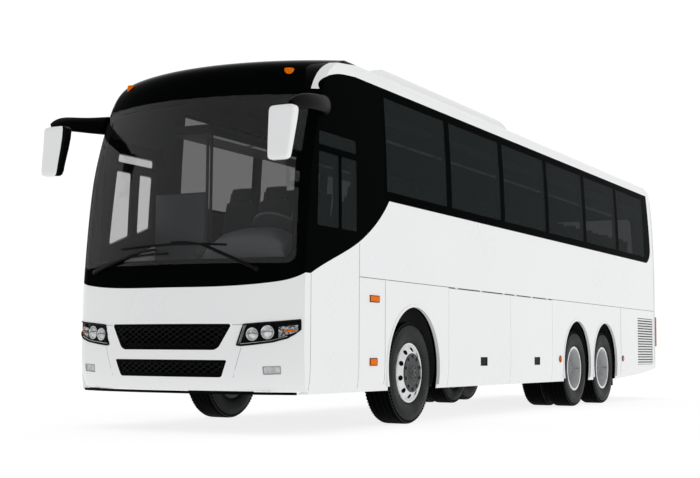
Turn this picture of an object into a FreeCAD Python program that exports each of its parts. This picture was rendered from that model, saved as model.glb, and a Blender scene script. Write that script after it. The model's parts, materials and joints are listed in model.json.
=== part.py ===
"""Three-axle touring coach, modelled as separate pieces in millimetres.

+Z is up, the front faces -Y and the driver's side is +X.  Lengths along the
coach are given from the front axle; the finished pieces are moved so that the
origin lies on the ground under the middle of the whole coach.
"""
import FreeCAD, Part
import math
import os

V = FreeCAD.Vector

# Whole coach, lengths along it measured from the front axle
FRONT_REACH = 2785.0
REAR_END = 9785.0
HALF_WIDTH = 1275.0
CROWN_Z = 3640.0
CROWN_R = 7178.0
SKIRT_Z = 355.0
SKIRT_TUCK = 25.0
SKIRT_TURN_Z = 620.0
TUMBLE_Z = 2000.0
CANT_Z = 3370.0
CANT_X = 1216.0
WALL = 55.0
MESH_DEPTH = 24.0
FIT = 0.3
DOOR_GAP = 6.0

# Nose and tail seen from the side, as height and place along the coach
NOSE = [(250, -2432), (355, -2472), (420, -2509), (480, -2532), (620, -2557), (1000, -2562),
        (1300, -2560), (1500, -2547), (1900, -2512), (2300, -2462), (2700, -2397), (3000, -2340),
        (3150, -2297), (3290, -2217), (3400, -2072), (3490, -1822), (3560, -1492), (3640, -972), (3720, -412)]
TAIL = [(250, 9655), (355, 9690), (480, 9740), (860, 9778), (1700, REAR_END), (2300, 9772),
        (3000, 9735), (3300, 9700), (3500, 9640), (3680, 9520)]
NOSE_PLAN_R = 3000.0
CAP_PLAN_R = 2000.0
CAP_PLAN_Z = [2300.0, 3450.0]
TAIL_PLAN_R = 14000.0
NOSE_CORNER_R = 320.0
TAIL_CORNER_R = 200.0

# Axles and wheels
DRIVE_AXLE_Y = 5400.0
TAG_AXLE_Y = 6720.0
TYRE_R = 522.0
TYRE_WIDTH = 295.0
TYRE_SIDES = 36
RIM_R = 286.0
RIM_FLANGE_R = 305.0
TYRE_FACE_X = 1228.0
TWIN_PITCH = 335.0
SPINDLE_R = 45.0
HUB_R = 140.0
KINGPIN_X = 930.0
SPRING_R = 95.0
KINGPIN_R = 25.0

# Wheel arches
FRONT_ARCH_R = 620.0
FRONT_ARCH_Z = 575.0
REAR_ARCH_R = 590.0
REAR_ARCH_Z = 590.0
DRIVE_ARCH_Y = 5365.0
TAG_ARCH_Y = 6690.0
ARCH_LIP = 30.0
ARCH_LIP_PROUD = 6.0
HOUSING_T = 15.0

# Side panels
BELT_Z = 1440.0
WINDOW_Z = 2230.0
CORNER_Y = -2170.0
CAB_SEAM_Y = -1245.0
DOOR_FRONT_Y = -1985.0
DOOR_REAR_Y = -1030.0
DOOR_TOP_Z = 2860.0
FLAP_Y = [875.0, 2755.0, 4293.0]
LATCH_Y = [1893.0, 3701.0]
LATCH_Z = 632.0
TAIL_SEAM_Y = 9480.0
SWOOSH = [(-2170, 1427), (-1965, 1509), (-1529, 1662), (-1245, 1775), (-999, 1909), (-805, 2044), (-605, WINDOW_Z)]
BAND_REAR = [(9012, WINDOW_Z), (9190, 2292), (9282, 2395), (9300, 2500)]
BAND_REAR_TOP_Y = 9255.0
BAND_FRONT_TOP = [(-1930, 3130), (-1896, 3211), (-1849, 3250), (-1717, 3302), (-1606, 3330), (-1420, 3355), (-1245, CANT_Z)]
CAP_SEAM_Z = 3130.0
CAP_EDGE = [(-2012, CAP_SEAM_Z), (-1945, 3250), (-1880, 3340), (-1820, 3384), (-1660, 3433), (-1280, 3490),
            (-900, 3565), (-450, 3680)]
UNDERSIDE = [(7270, SKIRT_Z), (8230, 394), (9240, 465), (9900, 545)]

# Glass
GLASS_T = 8.0
WIPER_LIFT = 34.0
BOND = 45.0
PANE_COUNT = 6
PANE_PITCH = 1620.0
PANE_FIRST_Y = -720.0
PANE_GAP = 10.0
SCREEN = [(1196, 1508), (1158, 3072)]
SCREEN_CORNER_R = 90.0
CAB_PANES = [[(-2080, 1850), (-1652, 1850), (-1652, 2556), (-2046, 2556)],
             [(-1620, 1850), (-1293, 1850), (-1293, 2556), (-1620, 2556)],
             [(-2046, 2590), (-1293, 2590), (-1293, 2745), (-2030, 2745)]]
DOOR_PANES = [[(-1895, 1745), (-1492, 1875), (-1470, 2570), (-1800, 2570)],
              [(-1449, 1893), (-1148, 1985), (-1120, 2570), (-1427, 2570)],
              [(-1800, 2606), (-1120, 2606), (-1112, 2745), (-1778, 2745)]]
CAB_PANE_R = 22.0
CAB_BOND = 14.0
REAR_WINDOW = [(930, 2080), (880, 3080)]

# Front panels
FRONT_LINE = [(0, 1300), (600, 1306), (980, 1336), (1160, 1371), (1290, 1434)]
BUMPER_SEAM = [(0, 962), (760, 965), (905, 978), (1075, 991), (1245, 1007), (1290, 1012)]
BUMPER_Z = 380.0
UPPER_GRILLE = [(656, 972), (524, 741)]
LOWER_GRILLE = [(612, 653), (552, 500)]
UPPER_GRILLE_R = [88.0, 88.0, 18.0, 18.0]
LOWER_GRILLE_R = [34.0, 34.0, 12.0, 12.0]
GRILLE_RIM = 24.0
DIAMOND_W = 78.0
DIAMOND_H = 46.0
DIAMOND_BAR = 7.0

# Rear panels
COVER_X = 870.0
COVER_Z = [880.0, 1760.0]
REAR_BUMPER_Z = 860.0

# Floors and frame
FLOOR_Z = 1400.0
FLOOR_T = 50.0
FLOOR_FRONT_Y = -1150.0
CAB_FLOOR_Z = 1150.0
BAY_FLOOR_Z = 430.0
BAY_FLOOR_T = 30.0
RAIL_X = 430.0
RAIL_W = 80.0
RAIL_Z = [640.0, 860.0]
BULKHEAD_T = 30.0
JACK_X = 700.0
JACK_Y = [740.0, 7725.0]
JACK_Z = 400.0
TOW_Z = 750.0
TOW_R = 20.0
TOW_REACH = 55.0

# Hinges
PIN_R = 3.0
EAR_R = 5.5
EAR_LEN = 26.0
HINGE_INSET = 8.0


def box(x0, x1, y0, y1, z0, z1):
    """Block between two corners."""
    return Part.makeBox(x1 - x0, y1 - y0, z1 - z0, V(x0, y0, z0))


def rod(start, end, radius):
    """Round bar from one point to another."""
    return Part.makeCylinder(radius, (end - start).Length, start, end - start)


def mirrored(shape):
    """The same form on the other side of the coach."""
    return shape.mirror(V(0, 0, 0), V(1, 0, 0))


def fused(shapes):
    """One solid from pieces that meet."""
    whole = shapes[0].fuse(shapes[1:]) if len(shapes) > 1 else shapes[0]
    return whole.removeSplitter()


def in_side(a, b):
    """Place of an outline point seen from the side."""
    return V(0, a, b)


def in_front(a, b):
    """Place of an outline point seen from the front."""
    return V(a, 0, b)


def outline(parts, place):
    """Closed wire; a part is one point, or a list of points for a smooth curve."""
    edges = []
    first = None
    last = None
    for part in parts:
        points = [place(*p) for p in (part if isinstance(part, list) else [part])]
        if last is not None and last.distanceToPoint(points[0]) > 1e-6:
            edges.append(Part.LineSegment(last, points[0]).toShape())
        if len(points) > 1:
            curve = Part.BSplineCurve()
            curve.interpolate(points)
            edges.append(curve.toShape())
        first = first or points[0]
        last = points[-1]
    if last.distanceToPoint(first) > 1e-6:
        edges.append(Part.LineSegment(last, first).toShape())
    return Part.Wire(edges)


def rounded(corners, radius, place):
    """Closed wire through corners, each one rounded by the same radius or by its own."""
    points = [place(*c) for c in corners]
    count = len(points)
    radii = radius if isinstance(radius, list) else [radius] * count
    edges = []
    ends = []
    for i, corner in enumerate(points):
        to_last = (points[i - 1] - corner).normalize()
        to_next = (points[(i + 1) % count] - corner).normalize()
        half = to_last.getAngle(to_next) / 2
        radius = radii[i]
        back = radius / math.tan(half)
        start = corner + to_last * back
        end = corner + to_next * back
        middle = (to_last + to_next).normalize()
        centre = corner + middle * (radius / math.sin(half))
        edges.append(Part.Arc(start, centre - middle * radius, end).toShape())
        ends.append((start, end))
    for i in range(count):
        edges.append(Part.LineSegment(ends[i][1], ends[(i + 1) % count][0]).toShape())
    return Part.Wire(Part.__sortEdges__(edges))


def side_prism(wire, x0, x1):
    """Form with one outline seen from the side, between two widths."""
    face = Part.Face(wire)
    face.translate(V(x0, 0, 0))
    return face.extrude(V(x1 - x0, 0, 0))


def front_prism(wire, y0, y1):
    """Form with one outline seen from the front, between two stations."""
    face = Part.Face(wire)
    face.translate(V(0, y0, 0))
    return face.extrude(V(0, y1 - y0, 0))


def inset(corners, distance):
    """Rectangle-like corners moved inwards by a margin."""
    mid_a = sum(c[0] for c in corners) / len(corners)
    mid_b = sum(c[1] for c in corners) / len(corners)
    return [(a - math.copysign(distance, a - mid_a), b - math.copysign(distance, b - mid_b)) for a, b in corners]


def spread(levels):
    """Four corners from half-widths at two heights."""
    (low_x, low_z), (high_x, high_z) = sorted(levels, key=lambda level: level[1])
    return [(-low_x, low_z), (low_x, low_z), (high_x, high_z), (-high_x, high_z)]


def section(off):
    """Cross-section of the body, moved inwards by a distance."""
    drop = HALF_WIDTH - CANT_X
    rise = CANT_Z - TUMBLE_Z
    side_r = rise * rise / (2 * drop) + drop / 2
    side_c = (HALF_WIDTH - side_r, TUMBLE_Z)
    lean = math.asin(rise / side_r)
    crown_c = (0.0, CROWN_Z - CROWN_R)
    out = (math.cos(lean), math.sin(lean))
    cant = (side_c[0] + side_r * out[0], side_c[1] + side_r * out[1])
    dx = cant[0] - crown_c[0]
    dz = cant[1] - crown_c[1]
    cant_r = (CROWN_R ** 2 - dx * dx - dz * dz) / (2 * (CROWN_R - dx * out[0] - dz * out[1]))
    cant_c = (cant[0] - cant_r * out[0], cant[1] - cant_r * out[1])
    turn = math.atan2(cant_c[1] - crown_c[1], cant_c[0] - crown_c[0])
    tuck_h = SKIRT_TURN_Z - SKIRT_Z
    tuck_r = tuck_h ** 2 / (2 * SKIRT_TUCK) + SKIRT_TUCK / 2
    tuck_c = (HALF_WIDTH - tuck_r, SKIRT_TURN_Z)
    tuck = math.asin(tuck_h / tuck_r) * 1.6

    def at(centre, radius, angle):
        return V(centre[0] + (radius - off) * math.cos(angle), 0, centre[1] + (radius - off) * math.sin(angle))

    def flip(p):
        return V(-p.x, 0, p.z)

    foot = at(tuck_c, tuck_r, -tuck)
    foot_mid = at(tuck_c, tuck_r, -tuck / 2)
    knee = at(tuck_c, tuck_r, 0)
    hip = V(HALF_WIDTH - off, 0, TUMBLE_Z)
    side_mid = at(side_c, side_r, lean / 2)
    shoulder = at(side_c, side_r, lean)
    cant_mid = at(cant_c, cant_r, (lean + turn) / 2)
    brow = at(cant_c, cant_r, turn)
    top = at(crown_c, CROWN_R, math.pi / 2)
    edges = [Part.Arc(foot, foot_mid, knee), Part.LineSegment(knee, hip), Part.Arc(hip, side_mid, shoulder),
             Part.Arc(shoulder, cant_mid, brow), Part.Arc(brow, top, flip(brow)),
             Part.Arc(flip(brow), flip(cant_mid), flip(shoulder)), Part.Arc(flip(shoulder), flip(side_mid), flip(hip)),
             Part.LineSegment(flip(hip), flip(knee)), Part.Arc(flip(knee), flip(foot_mid), flip(foot)),
             Part.LineSegment(flip(foot), foot)]
    return Part.Face(Part.Wire([e.toShape() for e in edges]))


def nose_plan_r(z):
    """Radius of the nose seen from above, smaller in the cap than below it."""
    share = min(max((z - CAP_PLAN_Z[0]) / (CAP_PLAN_Z[1] - CAP_PLAN_Z[0]), 0.0), 1.0)
    share = share * share * (3 - 2 * share)
    return 1 / ((1 - share) / NOSE_PLAN_R + share / CAP_PLAN_R)


def tail_plan_r(z):
    """Radius of the tail seen from above."""
    return TAIL_PLAN_R


def end_form(profile, plan_r, off, facing):
    """Everything behind one curved end face; facing is -1 at the nose and 1 at the tail."""
    curve = Part.BSplineCurve()
    curve.interpolate([V(0, y, z) for z, y in profile])
    rows = []
    row_count = 36
    for i in range(row_count + 1):
        u = curve.FirstParameter + (curve.LastParameter - curve.FirstParameter) * i / row_count
        tangent = curve.tangent(u)[0]
        inward = V(0, tangent.z, -tangent.y)
        if inward.y * facing > 0:
            inward = inward * -1
        p = curve.value(u) + inward * off
        radius = plan_r(curve.value(u).z) - off
        rows.append([V(x, p.y - facing * (radius - math.sqrt(radius * radius - x * x)), p.z)
                     for x in range(-1500, 1501, 250)])
    surface = Part.BSplineSurface()
    surface.interpolate(rows)
    return surface.toShape().extrude(V(0, -facing * 14000, 0))


def loaf(off):
    """The whole body form with rounded ends, moved inwards by a distance."""
    start = -3200.0
    bar = section(off)
    bar.translate(V(0, start, 0))
    bar = bar.extrude(V(0, 13500, 0))
    bar = bar.common(end_form(NOSE, nose_plan_r, off, -1)).common(end_form(TAIL, tail_plan_r, off, 1))
    nose = []
    tail = []
    for edge in bar.Edges:
        u = (edge.FirstParameter + edge.LastParameter) / 2
        middle = edge.valueAt(u)
        along = abs(edge.tangentAt(u).y)
        low = max(v.Z for v in edge.Vertexes) < SKIRT_Z
        if along < 0.98 and not low:
            if middle.y < -900:
                nose.append(edge)
            elif middle.y > 9400:
                tail.append(edge)
    bar = bar.makeFillet(NOSE_CORNER_R - off, nose)
    tail = []
    for edge in bar.Edges:
        u = (edge.FirstParameter + edge.LastParameter) / 2
        low = max(v.Z for v in edge.Vertexes) < SKIRT_Z
        if abs(edge.tangentAt(u).y) < 0.98 and not low and edge.valueAt(u).y > 9300:
            tail.append(edge)
    bar = bar.makeFillet(TAIL_CORNER_R - off, tail)
    below = side_prism(outline([(-3300, 0), (-3300, SKIRT_Z), UNDERSIDE, (9900, 0)], in_side), -1500, 1500)
    return bar.cut(below)


OUTER = loaf(0.0)
GLASS_BACK = loaf(GLASS_T)
SEAT_BACK = loaf(GLASS_T + FIT)
MESH_BACK = loaf(MESH_DEPTH)
INNER = loaf(WALL)
INSIDE = loaf(WALL + FIT)
SHELL = OUTER.cut(INNER)
LEFT = SHELL.common(box(300, 1600, -3300, 10200, 0, 4000))


def glaze(panel, corners, radius, prism, start, end, bond=BOND):
    """Seat a bonded pane in a panel; gives the panel and the pane."""
    seat = OUTER.common(prism(start, end, corners, radius)).cut(SEAT_BACK)
    clear = prism(start, end, inset(corners, bond), radius)
    pane = OUTER.common(prism(start, end, inset(corners, 2.0), radius - 2.0)).cut(GLASS_BACK)
    return panel.cut([seat, clear]), pane


def side_opening(x0, x1, corners, radius):
    """Rounded opening through a side wall."""
    return side_prism(rounded(corners, radius, in_side), x0, x1)


def end_opening(y0, y1, corners, radius):
    """Rounded opening through the nose or the tail."""
    return front_prism(rounded(corners, radius, in_front), y0, y1)


def hinge(centre, along, to_leaf):
    """One pinned hinge: body part, leaf part, and the pockets cut in each."""
    half = EAR_LEN / 2
    reach = to_leaf * (DOOR_GAP + 5)
    side = along.cross(to_leaf)

    def ear(start, end, direction):
        round_part = rod(centre + along * start, centre + along * end, EAR_R)
        corner = centre + along * start - side * EAR_R
        plate = Part.Face(Part.makePolygon([corner, corner + side * 2 * EAR_R,
                                            corner + side * 2 * EAR_R + direction, corner + direction, corner]))
        return round_part.fuse(plate.extrude(along * (end - start)))

    outer_end = half + FIT + EAR_LEN * 0.7
    body_part = fused([ear(half + FIT, outer_end, reach * -1), ear(-outer_end, -half - FIT, reach * -1),
                       rod(centre - along * outer_end, centre + along * outer_end, PIN_R)])
    bore = rod(centre - along * half * 1.2, centre + along * half * 1.2, PIN_R + FIT)
    leaf_part = ear(-half, half, reach).cut(bore)
    room = EAR_R + 5
    body_pocket = rod(centre - along * (half + 5), centre + along * (half + 5), room)
    body_pocket = body_pocket.cut(rod(centre - along * 99, centre - along * (half + FIT), 99))
    body_pocket = body_pocket.cut(rod(centre + along * (half + FIT), centre + along * 99, 99))
    leaf_pocket = rod(centre - along * (outer_end + 5), centre - along * (half + FIT), room)
    leaf_pocket = leaf_pocket.fuse(rod(centre + along * (half + FIT), centre + along * (outer_end + 5), room))
    return body_part, leaf_part, body_pocket, leaf_pocket


def hang(body, leaf, centres, along, to_leaf):
    """Join a leaf to a panel by several hinges."""
    sets = [hinge(centre, along, to_leaf) for centre in centres]
    body = body.cut([s[2] for s in sets]).fuse([s[0] for s in sets])
    leaf = leaf.cut([s[3] for s in sets]).fuse([s[1] for s in sets])
    return body, leaf


PARTS = {}


def keep(name, *shapes):
    """Record the solids of one piece."""
    PARTS[name] = [solid for shape in shapes for solid in shape.Solids]


def band_outline():
    """Black window band seen from the side."""
    return outline([(CAB_SEAM_Y, SWOOSH[3][1]), SWOOSH[3:], (BAND_REAR[0]), BAND_REAR,
                    (BAND_REAR_TOP_Y, CANT_Z), (CAB_SEAM_Y, CANT_Z)], in_side)


def arch_cut(y, z, radius):
    """Wheel arch through a side panel."""
    return rod(V(900, y, z), V(1400, y, z), radius).fuse(box(900, 1400, y - radius * 0.93, y + radius * 0.93, 0, z - radius * 0.37))


def arch_lip(y, z, radius):
    """Raised lip round a wheel arch."""
    ring = rod(V(1235, y, z), V(HALF_WIDTH + ARCH_LIP_PROUD, y, z), radius + ARCH_LIP)
    ring = ring.cut(rod(V(1200, y, z), V(1400, y, z), radius))
    return ring.cut(box(1200, 1400, y - 900, y + 900, -900, SKIRT_Z + 40))


def skirts():
    """Lower side panels of the driver's side, front and rear of the luggage doors."""
    front = LEFT.common(side_prism(outline([(CORNER_Y, 0), (FLAP_Y[0] - DOOR_GAP, 0), (FLAP_Y[0] - DOOR_GAP, BELT_Z),
                                                  (CAB_SEAM_Y, BELT_Z), SWOOSH[3::-1]], in_side), 0, 1500))
    rear = LEFT.common(box(0, 1500, FLAP_Y[2] + DOOR_GAP, TAIL_SEAM_Y, 0, BELT_Z))
    front = front.cut(arch_cut(0, FRONT_ARCH_Z, FRONT_ARCH_R)).fuse(arch_lip(0, FRONT_ARCH_Z, FRONT_ARCH_R))
    for y in (DRIVE_ARCH_Y, TAG_ARCH_Y):
        rear = rear.cut(arch_cut(y, REAR_ARCH_Z, REAR_ARCH_R))
        rear = rear.fuse(arch_lip(y, REAR_ARCH_Z, REAR_ARCH_R))
    for y in (DRIVE_ARCH_Y, TAG_ARCH_Y):
        rear = rear.cut(rod(V(1200, y, REAR_ARCH_Z), V(1400, y, REAR_ARCH_Z), REAR_ARCH_R))
    return [front, louvres(rear)]


def louvres(panel):
    """Pressed slats of the engine air grille in the rear side panel."""
    slat_count = 18
    top = 1308.0
    bottom = 560.0
    pitch = (top - bottom) / slat_count
    recess = box(1262, 1400, 8460, 9370, bottom, top)
    slats = []
    for i in range(slat_count):
        z = bottom + pitch * (i + 0.15)
        slats.append(side_slat(8455, 9375, z, pitch * 0.62))
    return fused([panel.cut(recess)] + slats)


def side_slat(y0, y1, z, height):
    """One slanted slat that runs along the side."""
    wire = Part.makePolygon([V(1256, y0, z + height), V(1273, y0, z), V(1275, y0, z + 3), V(1262, y0, z + height), V(1256, y0, z + height)])
    return Part.Face(wire).extrude(V(0, y1 - y0, 0))


def side_band():
    """Window frame with its panes, seen on the driver's side."""
    frame = LEFT.common(side_prism(band_outline(), 0, 1500))
    panes = []
    for i in range(PANE_COUNT):
        y0 = PANE_FIRST_Y + PANE_PITCH * i + PANE_GAP / 2
        y1 = y0 + PANE_PITCH - PANE_GAP
        z0 = WINDOW_Z + 14
        z1 = CANT_Z - 14
        corners = [(y0, z0), (y1, z0), (y1, z1), (y0, z1)]
        frame, pane = glaze(frame, corners, 20.0, side_opening, 900, 1500)
        panes.append(pane)
    return frame, panes


def waist():
    """White side panel between the belt line and the window band."""
    area = box(0, 1500, CAB_SEAM_Y, TAIL_SEAM_Y, BELT_Z + DOOR_GAP, CANT_Z)
    return LEFT.common(area).cut(side_prism(band_outline(), 0, 1500))


def flap(index):
    """One luggage door with its sunk latch plate."""
    y0 = FLAP_Y[index] + (0 if index == 0 else DOOR_GAP / 2)
    y1 = FLAP_Y[index + 1] - (DOOR_GAP / 2 if index == 0 else 0)
    top = BELT_Z - DOOR_GAP
    door = LEFT.common(box(0, 1500, y0, y1, 0, top))
    wedge = outline([(HALF_WIDTH - 8, top + 1), (HALF_WIDTH + 2, top + 1), (HALF_WIDTH + 2, top - 10)], in_front)
    door = door.cut(front_prism(wedge, y0 - 10, y1 + 10))
    y = LATCH_Y[index]
    recess = box(HALF_WIDTH - 14, 1400, y - 105, y + 105, LATCH_Z - 50, LATCH_Z + 50)
    paddle = box(HALF_WIDTH - 20, HALF_WIDTH - 5, y - 88, y + 88, LATCH_Z - 34, LATCH_Z + 34)
    return door.cut(recess).fuse(paddle)


def sides():
    """Skirts, waist panels, window bands, luggage doors and the entrance door."""
    door_area = side_opening(-1500, -900, [(DOOR_FRONT_Y, 0), (DOOR_REAR_Y, 0), (DOOR_REAR_Y, DOOR_TOP_Z),
                                           (DOOR_FRONT_Y, DOOR_TOP_Z)], 40.0)
    left_skirts = skirts()
    right_skirts = [mirrored(left_skirts[0].cut(mirrored(door_area))), mirrored(left_skirts[1])]
    left_waist = waist()
    left_band, panes = side_band()
    along = V(0, 1, 0)
    names = ["front", "rear"]
    for index in range(2):
        door = flap(index)
        length = FLAP_Y[index + 1] - FLAP_Y[index]
        centres = [V(HALF_WIDTH - HINGE_INSET, FLAP_Y[index] + length * share, BELT_Z) for share in (0.12, 0.5, 0.88)]
        left_waist, door = hang(left_waist, door, centres, along, V(0, 0, -1))
        keep("luggage_door_%s_left" % names[index], door)
        keep("luggage_door_%s_right" % names[index], mirrored(door))
    keep("skirt_panels", *(left_skirts + right_skirts))
    behind_door = box(0, 1500, DOOR_REAR_Y, 10000, 0, 4000)
    keep("waist_panels", left_waist, mirrored(left_waist.common(behind_door)))
    keep("window_frames", left_band, mirrored(left_band.common(behind_door)))
    return panes + [mirrored(p) for p in panes], door_area


def nose_top_area():
    """Everything above the seam of the front cap and the roof's front horns."""
    return outline([(-3300, CAP_SEAM_Z), (-1930, CAP_SEAM_Z), BAND_FRONT_TOP, (10200, CANT_Z), (10200, 4000),
                    (-3300, 4000)], in_side)


def front_end(door_area):
    """Cap, windscreen and its surround, front panel, bumper and grilles."""
    above = side_prism(nose_top_area(), -1500, 1500)
    cap_area = side_prism(outline([(-3300, CAP_SEAM_Z), CAP_EDGE, (-450, 4000), (-3300, 4000)], in_side), -1500, 1500)
    cap = SHELL.common(cap_area)
    keep("front_cap", cap)
    roof = SHELL.common(above).cut(cap_area).cut(box(-1500, 1500, TAIL_SEAM_Y, 10200, 0, 4000))
    keep("roof_shell", roof)

    line_right = [(-x, z) for x, z in FRONT_LINE[:0:-1]]
    black_front = front_prism(outline([line_right + FRONT_LINE, (1290, 4000), (-1290, 4000)], in_front), -3300, CORNER_Y)
    black_side = side_prism(outline([SWOOSH[:4], (CAB_SEAM_Y, 4000), (CORNER_Y, 4000)], in_side), -1500, 1500)
    black_door_side = side_prism(outline([(CAB_SEAM_Y, SWOOSH[3][1]), SWOOSH[3:5], (DOOR_REAR_Y, 4000), (CAB_SEAM_Y, 4000)],
                                         in_side), -1500, 0)
    black_door_side = black_door_side.common(box(-1500, 0, CAB_SEAM_Y, DOOR_REAR_Y, 0, 4000))
    surround = SHELL.common(black_front.fuse([black_side, black_door_side])).cut(above)
    surround = surround.cut(door_area)
    corners = spread(SCREEN)
    surround, screen = glaze(surround, corners, SCREEN_CORNER_R, end_opening, -3300, -2000)
    cab_panes = []
    for clear in CAB_PANES:
        surround, pane = glaze(surround, inset(clear, -CAB_BOND), CAB_PANE_R, side_opening, 900, 1500, CAB_BOND)
        cab_panes.append(pane)
    keep("windscreen", screen)

    seam_right = [(-x, z) for x, z in BUMPER_SEAM[:0:-1]]
    seam = seam_right + BUMPER_SEAM
    panel_area = front_prism(outline([seam, line_right_top(FRONT_LINE), ], in_front), -3300, CORNER_Y)
    panel = SHELL.common(panel_area)
    bumper_area = front_prism(outline([(-1290, BUMPER_Z), (1290, BUMPER_Z), seam[::-1]], in_front), -3300, CORNER_Y)
    bumper = SHELL.common(bumper_area)
    meshes = []
    for levels, radii in ((UPPER_GRILLE, UPPER_GRILLE_R), (LOWER_GRILLE, LOWER_GRILLE_R)):
        corners = spread(levels)
        hole = end_opening(-3300, -2000, corners, radii)
        bumper = bumper.cut(hole)
        panel = panel.cut(hole)
        meshes.append(grille(corners, radii))
    keep("front_panel", panel)
    keep("front_grilles", *meshes)
    return surround, cab_panes, bumper


def line_right_top(line):
    """A front line run back from right to left, for closing an outline."""
    return line[::-1] + [(-x, z) for x, z in line[1:]]


def diamonds(corners, margin):
    """Outlines of all the whole diamond holes that fit between the sloping ends of a grille."""
    (low_x, low_z), (high_x, high_z) = corners[1], corners[2]
    half_w = DIAMOND_W / 2 - DIAMOND_BAR
    half_h = DIAMOND_H / 2 - DIAMOND_BAR * DIAMOND_H / DIAMOND_W
    middle = (low_z + high_z) / 2
    holes = []
    for row in range(-8, 9):
        z = middle + row * DIAMOND_H / 2
        reach = low_x + (high_x - low_x) * (z - half_h - low_z) / (high_z - low_z) - margin - half_w * 0.5
        if z - half_h < low_z + margin or z + half_h > high_z - margin:
            continue
        for column in range(-20, 21):
            x = (column + (row % 2) / 2) * DIAMOND_W
            if abs(x) + half_w * 0.5 < reach:
                points = [V(x - half_w, 0, z), V(x, 0, z - half_h), V(x + half_w, 0, z), V(x, 0, z + half_h)]
                holes.append(Part.makePolygon(points + points[:1]))
    return holes


def grille(corners, radii):
    """Front grille: a rim that fills its opening and a lattice of crossed bars set back in it."""
    unit = SHELL.common(end_opening(-3300, -2000, inset(corners, FIT), radii))
    hollow = rounded(inset(corners, GRILLE_RIM), [max(r - GRILLE_RIM / 2, 8.0) for r in radii], in_front)
    lattice = Part.makeFace([hollow] + diamonds(corners, GRILLE_RIM + DIAMOND_BAR), "Part::FaceMakerBullseye")
    lattice.translate(V(0, -3300, 0))
    lattice = lattice.extrude(V(0, 1300, 0))
    layer = SEAT_BACK.common(front_prism(hollow, -3300, -2000)).cut(MESH_BACK)
    return unit.cut(front_prism(hollow, -3300, -2000)).fuse(layer.common(lattice))


def entrance_door(surround, door_area):
    """Entrance leaf, hinged at its front edge, with its two panes."""
    leaf = SHELL.common(side_opening(-1500, -900, inset([(DOOR_FRONT_Y, -60), (DOOR_REAR_Y, -60),
                                                               (DOOR_REAR_Y, DOOR_TOP_Z), (DOOR_FRONT_Y, DOOR_TOP_Z)],
                                                              DOOR_GAP), 36.0))
    edge = DOOR_FRONT_Y + DOOR_GAP * 2
    leaf = leaf.cut(box(-1500, -900, DOOR_FRONT_Y - 20, edge, 0, 4000))
    wedge = Part.Face(Part.makePolygon([V(-HALF_WIDTH - 2, edge - 1, 0), V(-HALF_WIDTH + 8, edge - 1, 0),
                                        V(-HALF_WIDTH - 2, edge + 10, 0), V(-HALF_WIDTH - 2, edge - 1, 0)]))
    leaf = leaf.cut(wedge.extrude(V(0, 0, 4000)))
    panes = []
    for clear in DOOR_PANES:
        leaf, pane = glaze(leaf, inset(clear, -CAB_BOND), CAB_PANE_R, side_opening, -1500, -900, CAB_BOND)
        panes.append(pane)
    centres = [V(-HALF_WIDTH + HINGE_INSET, DOOR_FRONT_Y + DOOR_GAP, z) for z in (620, 1160, 1900)]
    return leaf, panes, centres


def tail_end():
    """Rear wall with its window, engine cover and rear bumper."""
    tail = SHELL.common(box(-1500, 1500, TAIL_SEAM_Y, 10200, 0, 4000))
    bumper = tail.common(box(-1500, 1500, 9000, 10200, 0, REAR_BUMPER_Z))
    wall = tail.common(box(-1500, 1500, 9000, 10200, REAR_BUMPER_Z, 4000))
    wall, pane = glaze(wall, spread(REAR_WINDOW), 90.0, end_opening, 9000, 10200)
    z0, z1 = COVER_Z
    gap = DOOR_GAP
    hole = box(-COVER_X - gap, COVER_X + gap, 9600, 10200, z0 - gap, z1 + 2 * gap)
    cover = wall.common(box(-COVER_X, COVER_X, 9600, 10200, z0, z1))
    wall = wall.cut(hole)
    y = REAR_END - HINGE_INSET
    wedge = outline([(REAR_END - 8, z1 + 1), (REAR_END + 6, z1 + 1), (REAR_END + 6, z1 - 12)], in_side)
    cover = cover.cut(side_prism(wedge, -1000, 1000))
    centres = [V(x, y - 2, z1 + gap) for x in (-640, 0, 640)]
    wall, cover = hang(wall, cover, centres, V(1, 0, 0), V(0, 0, -1))
    keep("engine_cover", cover)
    keep("rear_wall", wall)
    return pane, bumper


def turned(profile, sides):
    """Ring with flat sides about the X axis, from an outline of place and radius to the flats."""
    rings = []
    step = 2 * math.pi / sides
    for x, flat_r in profile:
        r = flat_r / math.cos(step / 2)
        rings.append([V(x, r * math.cos(step * (i + 0.5)), r * math.sin(step * (i + 0.5))) for i in range(sides)])
    faces = []
    for ring, after in zip(rings, rings[1:] + rings[:1]):
        for i in range(sides):
            j = (i + 1) % sides
            faces.append(Part.Face(Part.makePolygon([ring[i], ring[j], after[j], after[i], ring[i]])))
    solid = Part.makeSolid(Part.makeShell(faces))
    if solid.Volume < 0:
        solid.reverse()
    return solid


def tyre(x_outer, y, z, facing):
    """Tyre as a turned ring; facing is 1 on the driver's side."""
    half = TYRE_WIDTH / 2
    tread = half * 0.86
    profile = [(-half * 0.64, RIM_R + FIT), (half * 0.64, RIM_R + FIT), (half * 0.76, RIM_FLANGE_R + 8), (half, 410),
               (tread + 6, TYRE_R - 18), (tread - 24, TYRE_R)]
    profile = profile + [(-a, r) for a, r in profile[:1:-1]]
    centre = x_outer - facing * half
    ring = turned([(centre + a, r) for a, r in profile], TYRE_SIDES)
    ring.translate(V(0, y, z))
    return ring


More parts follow.
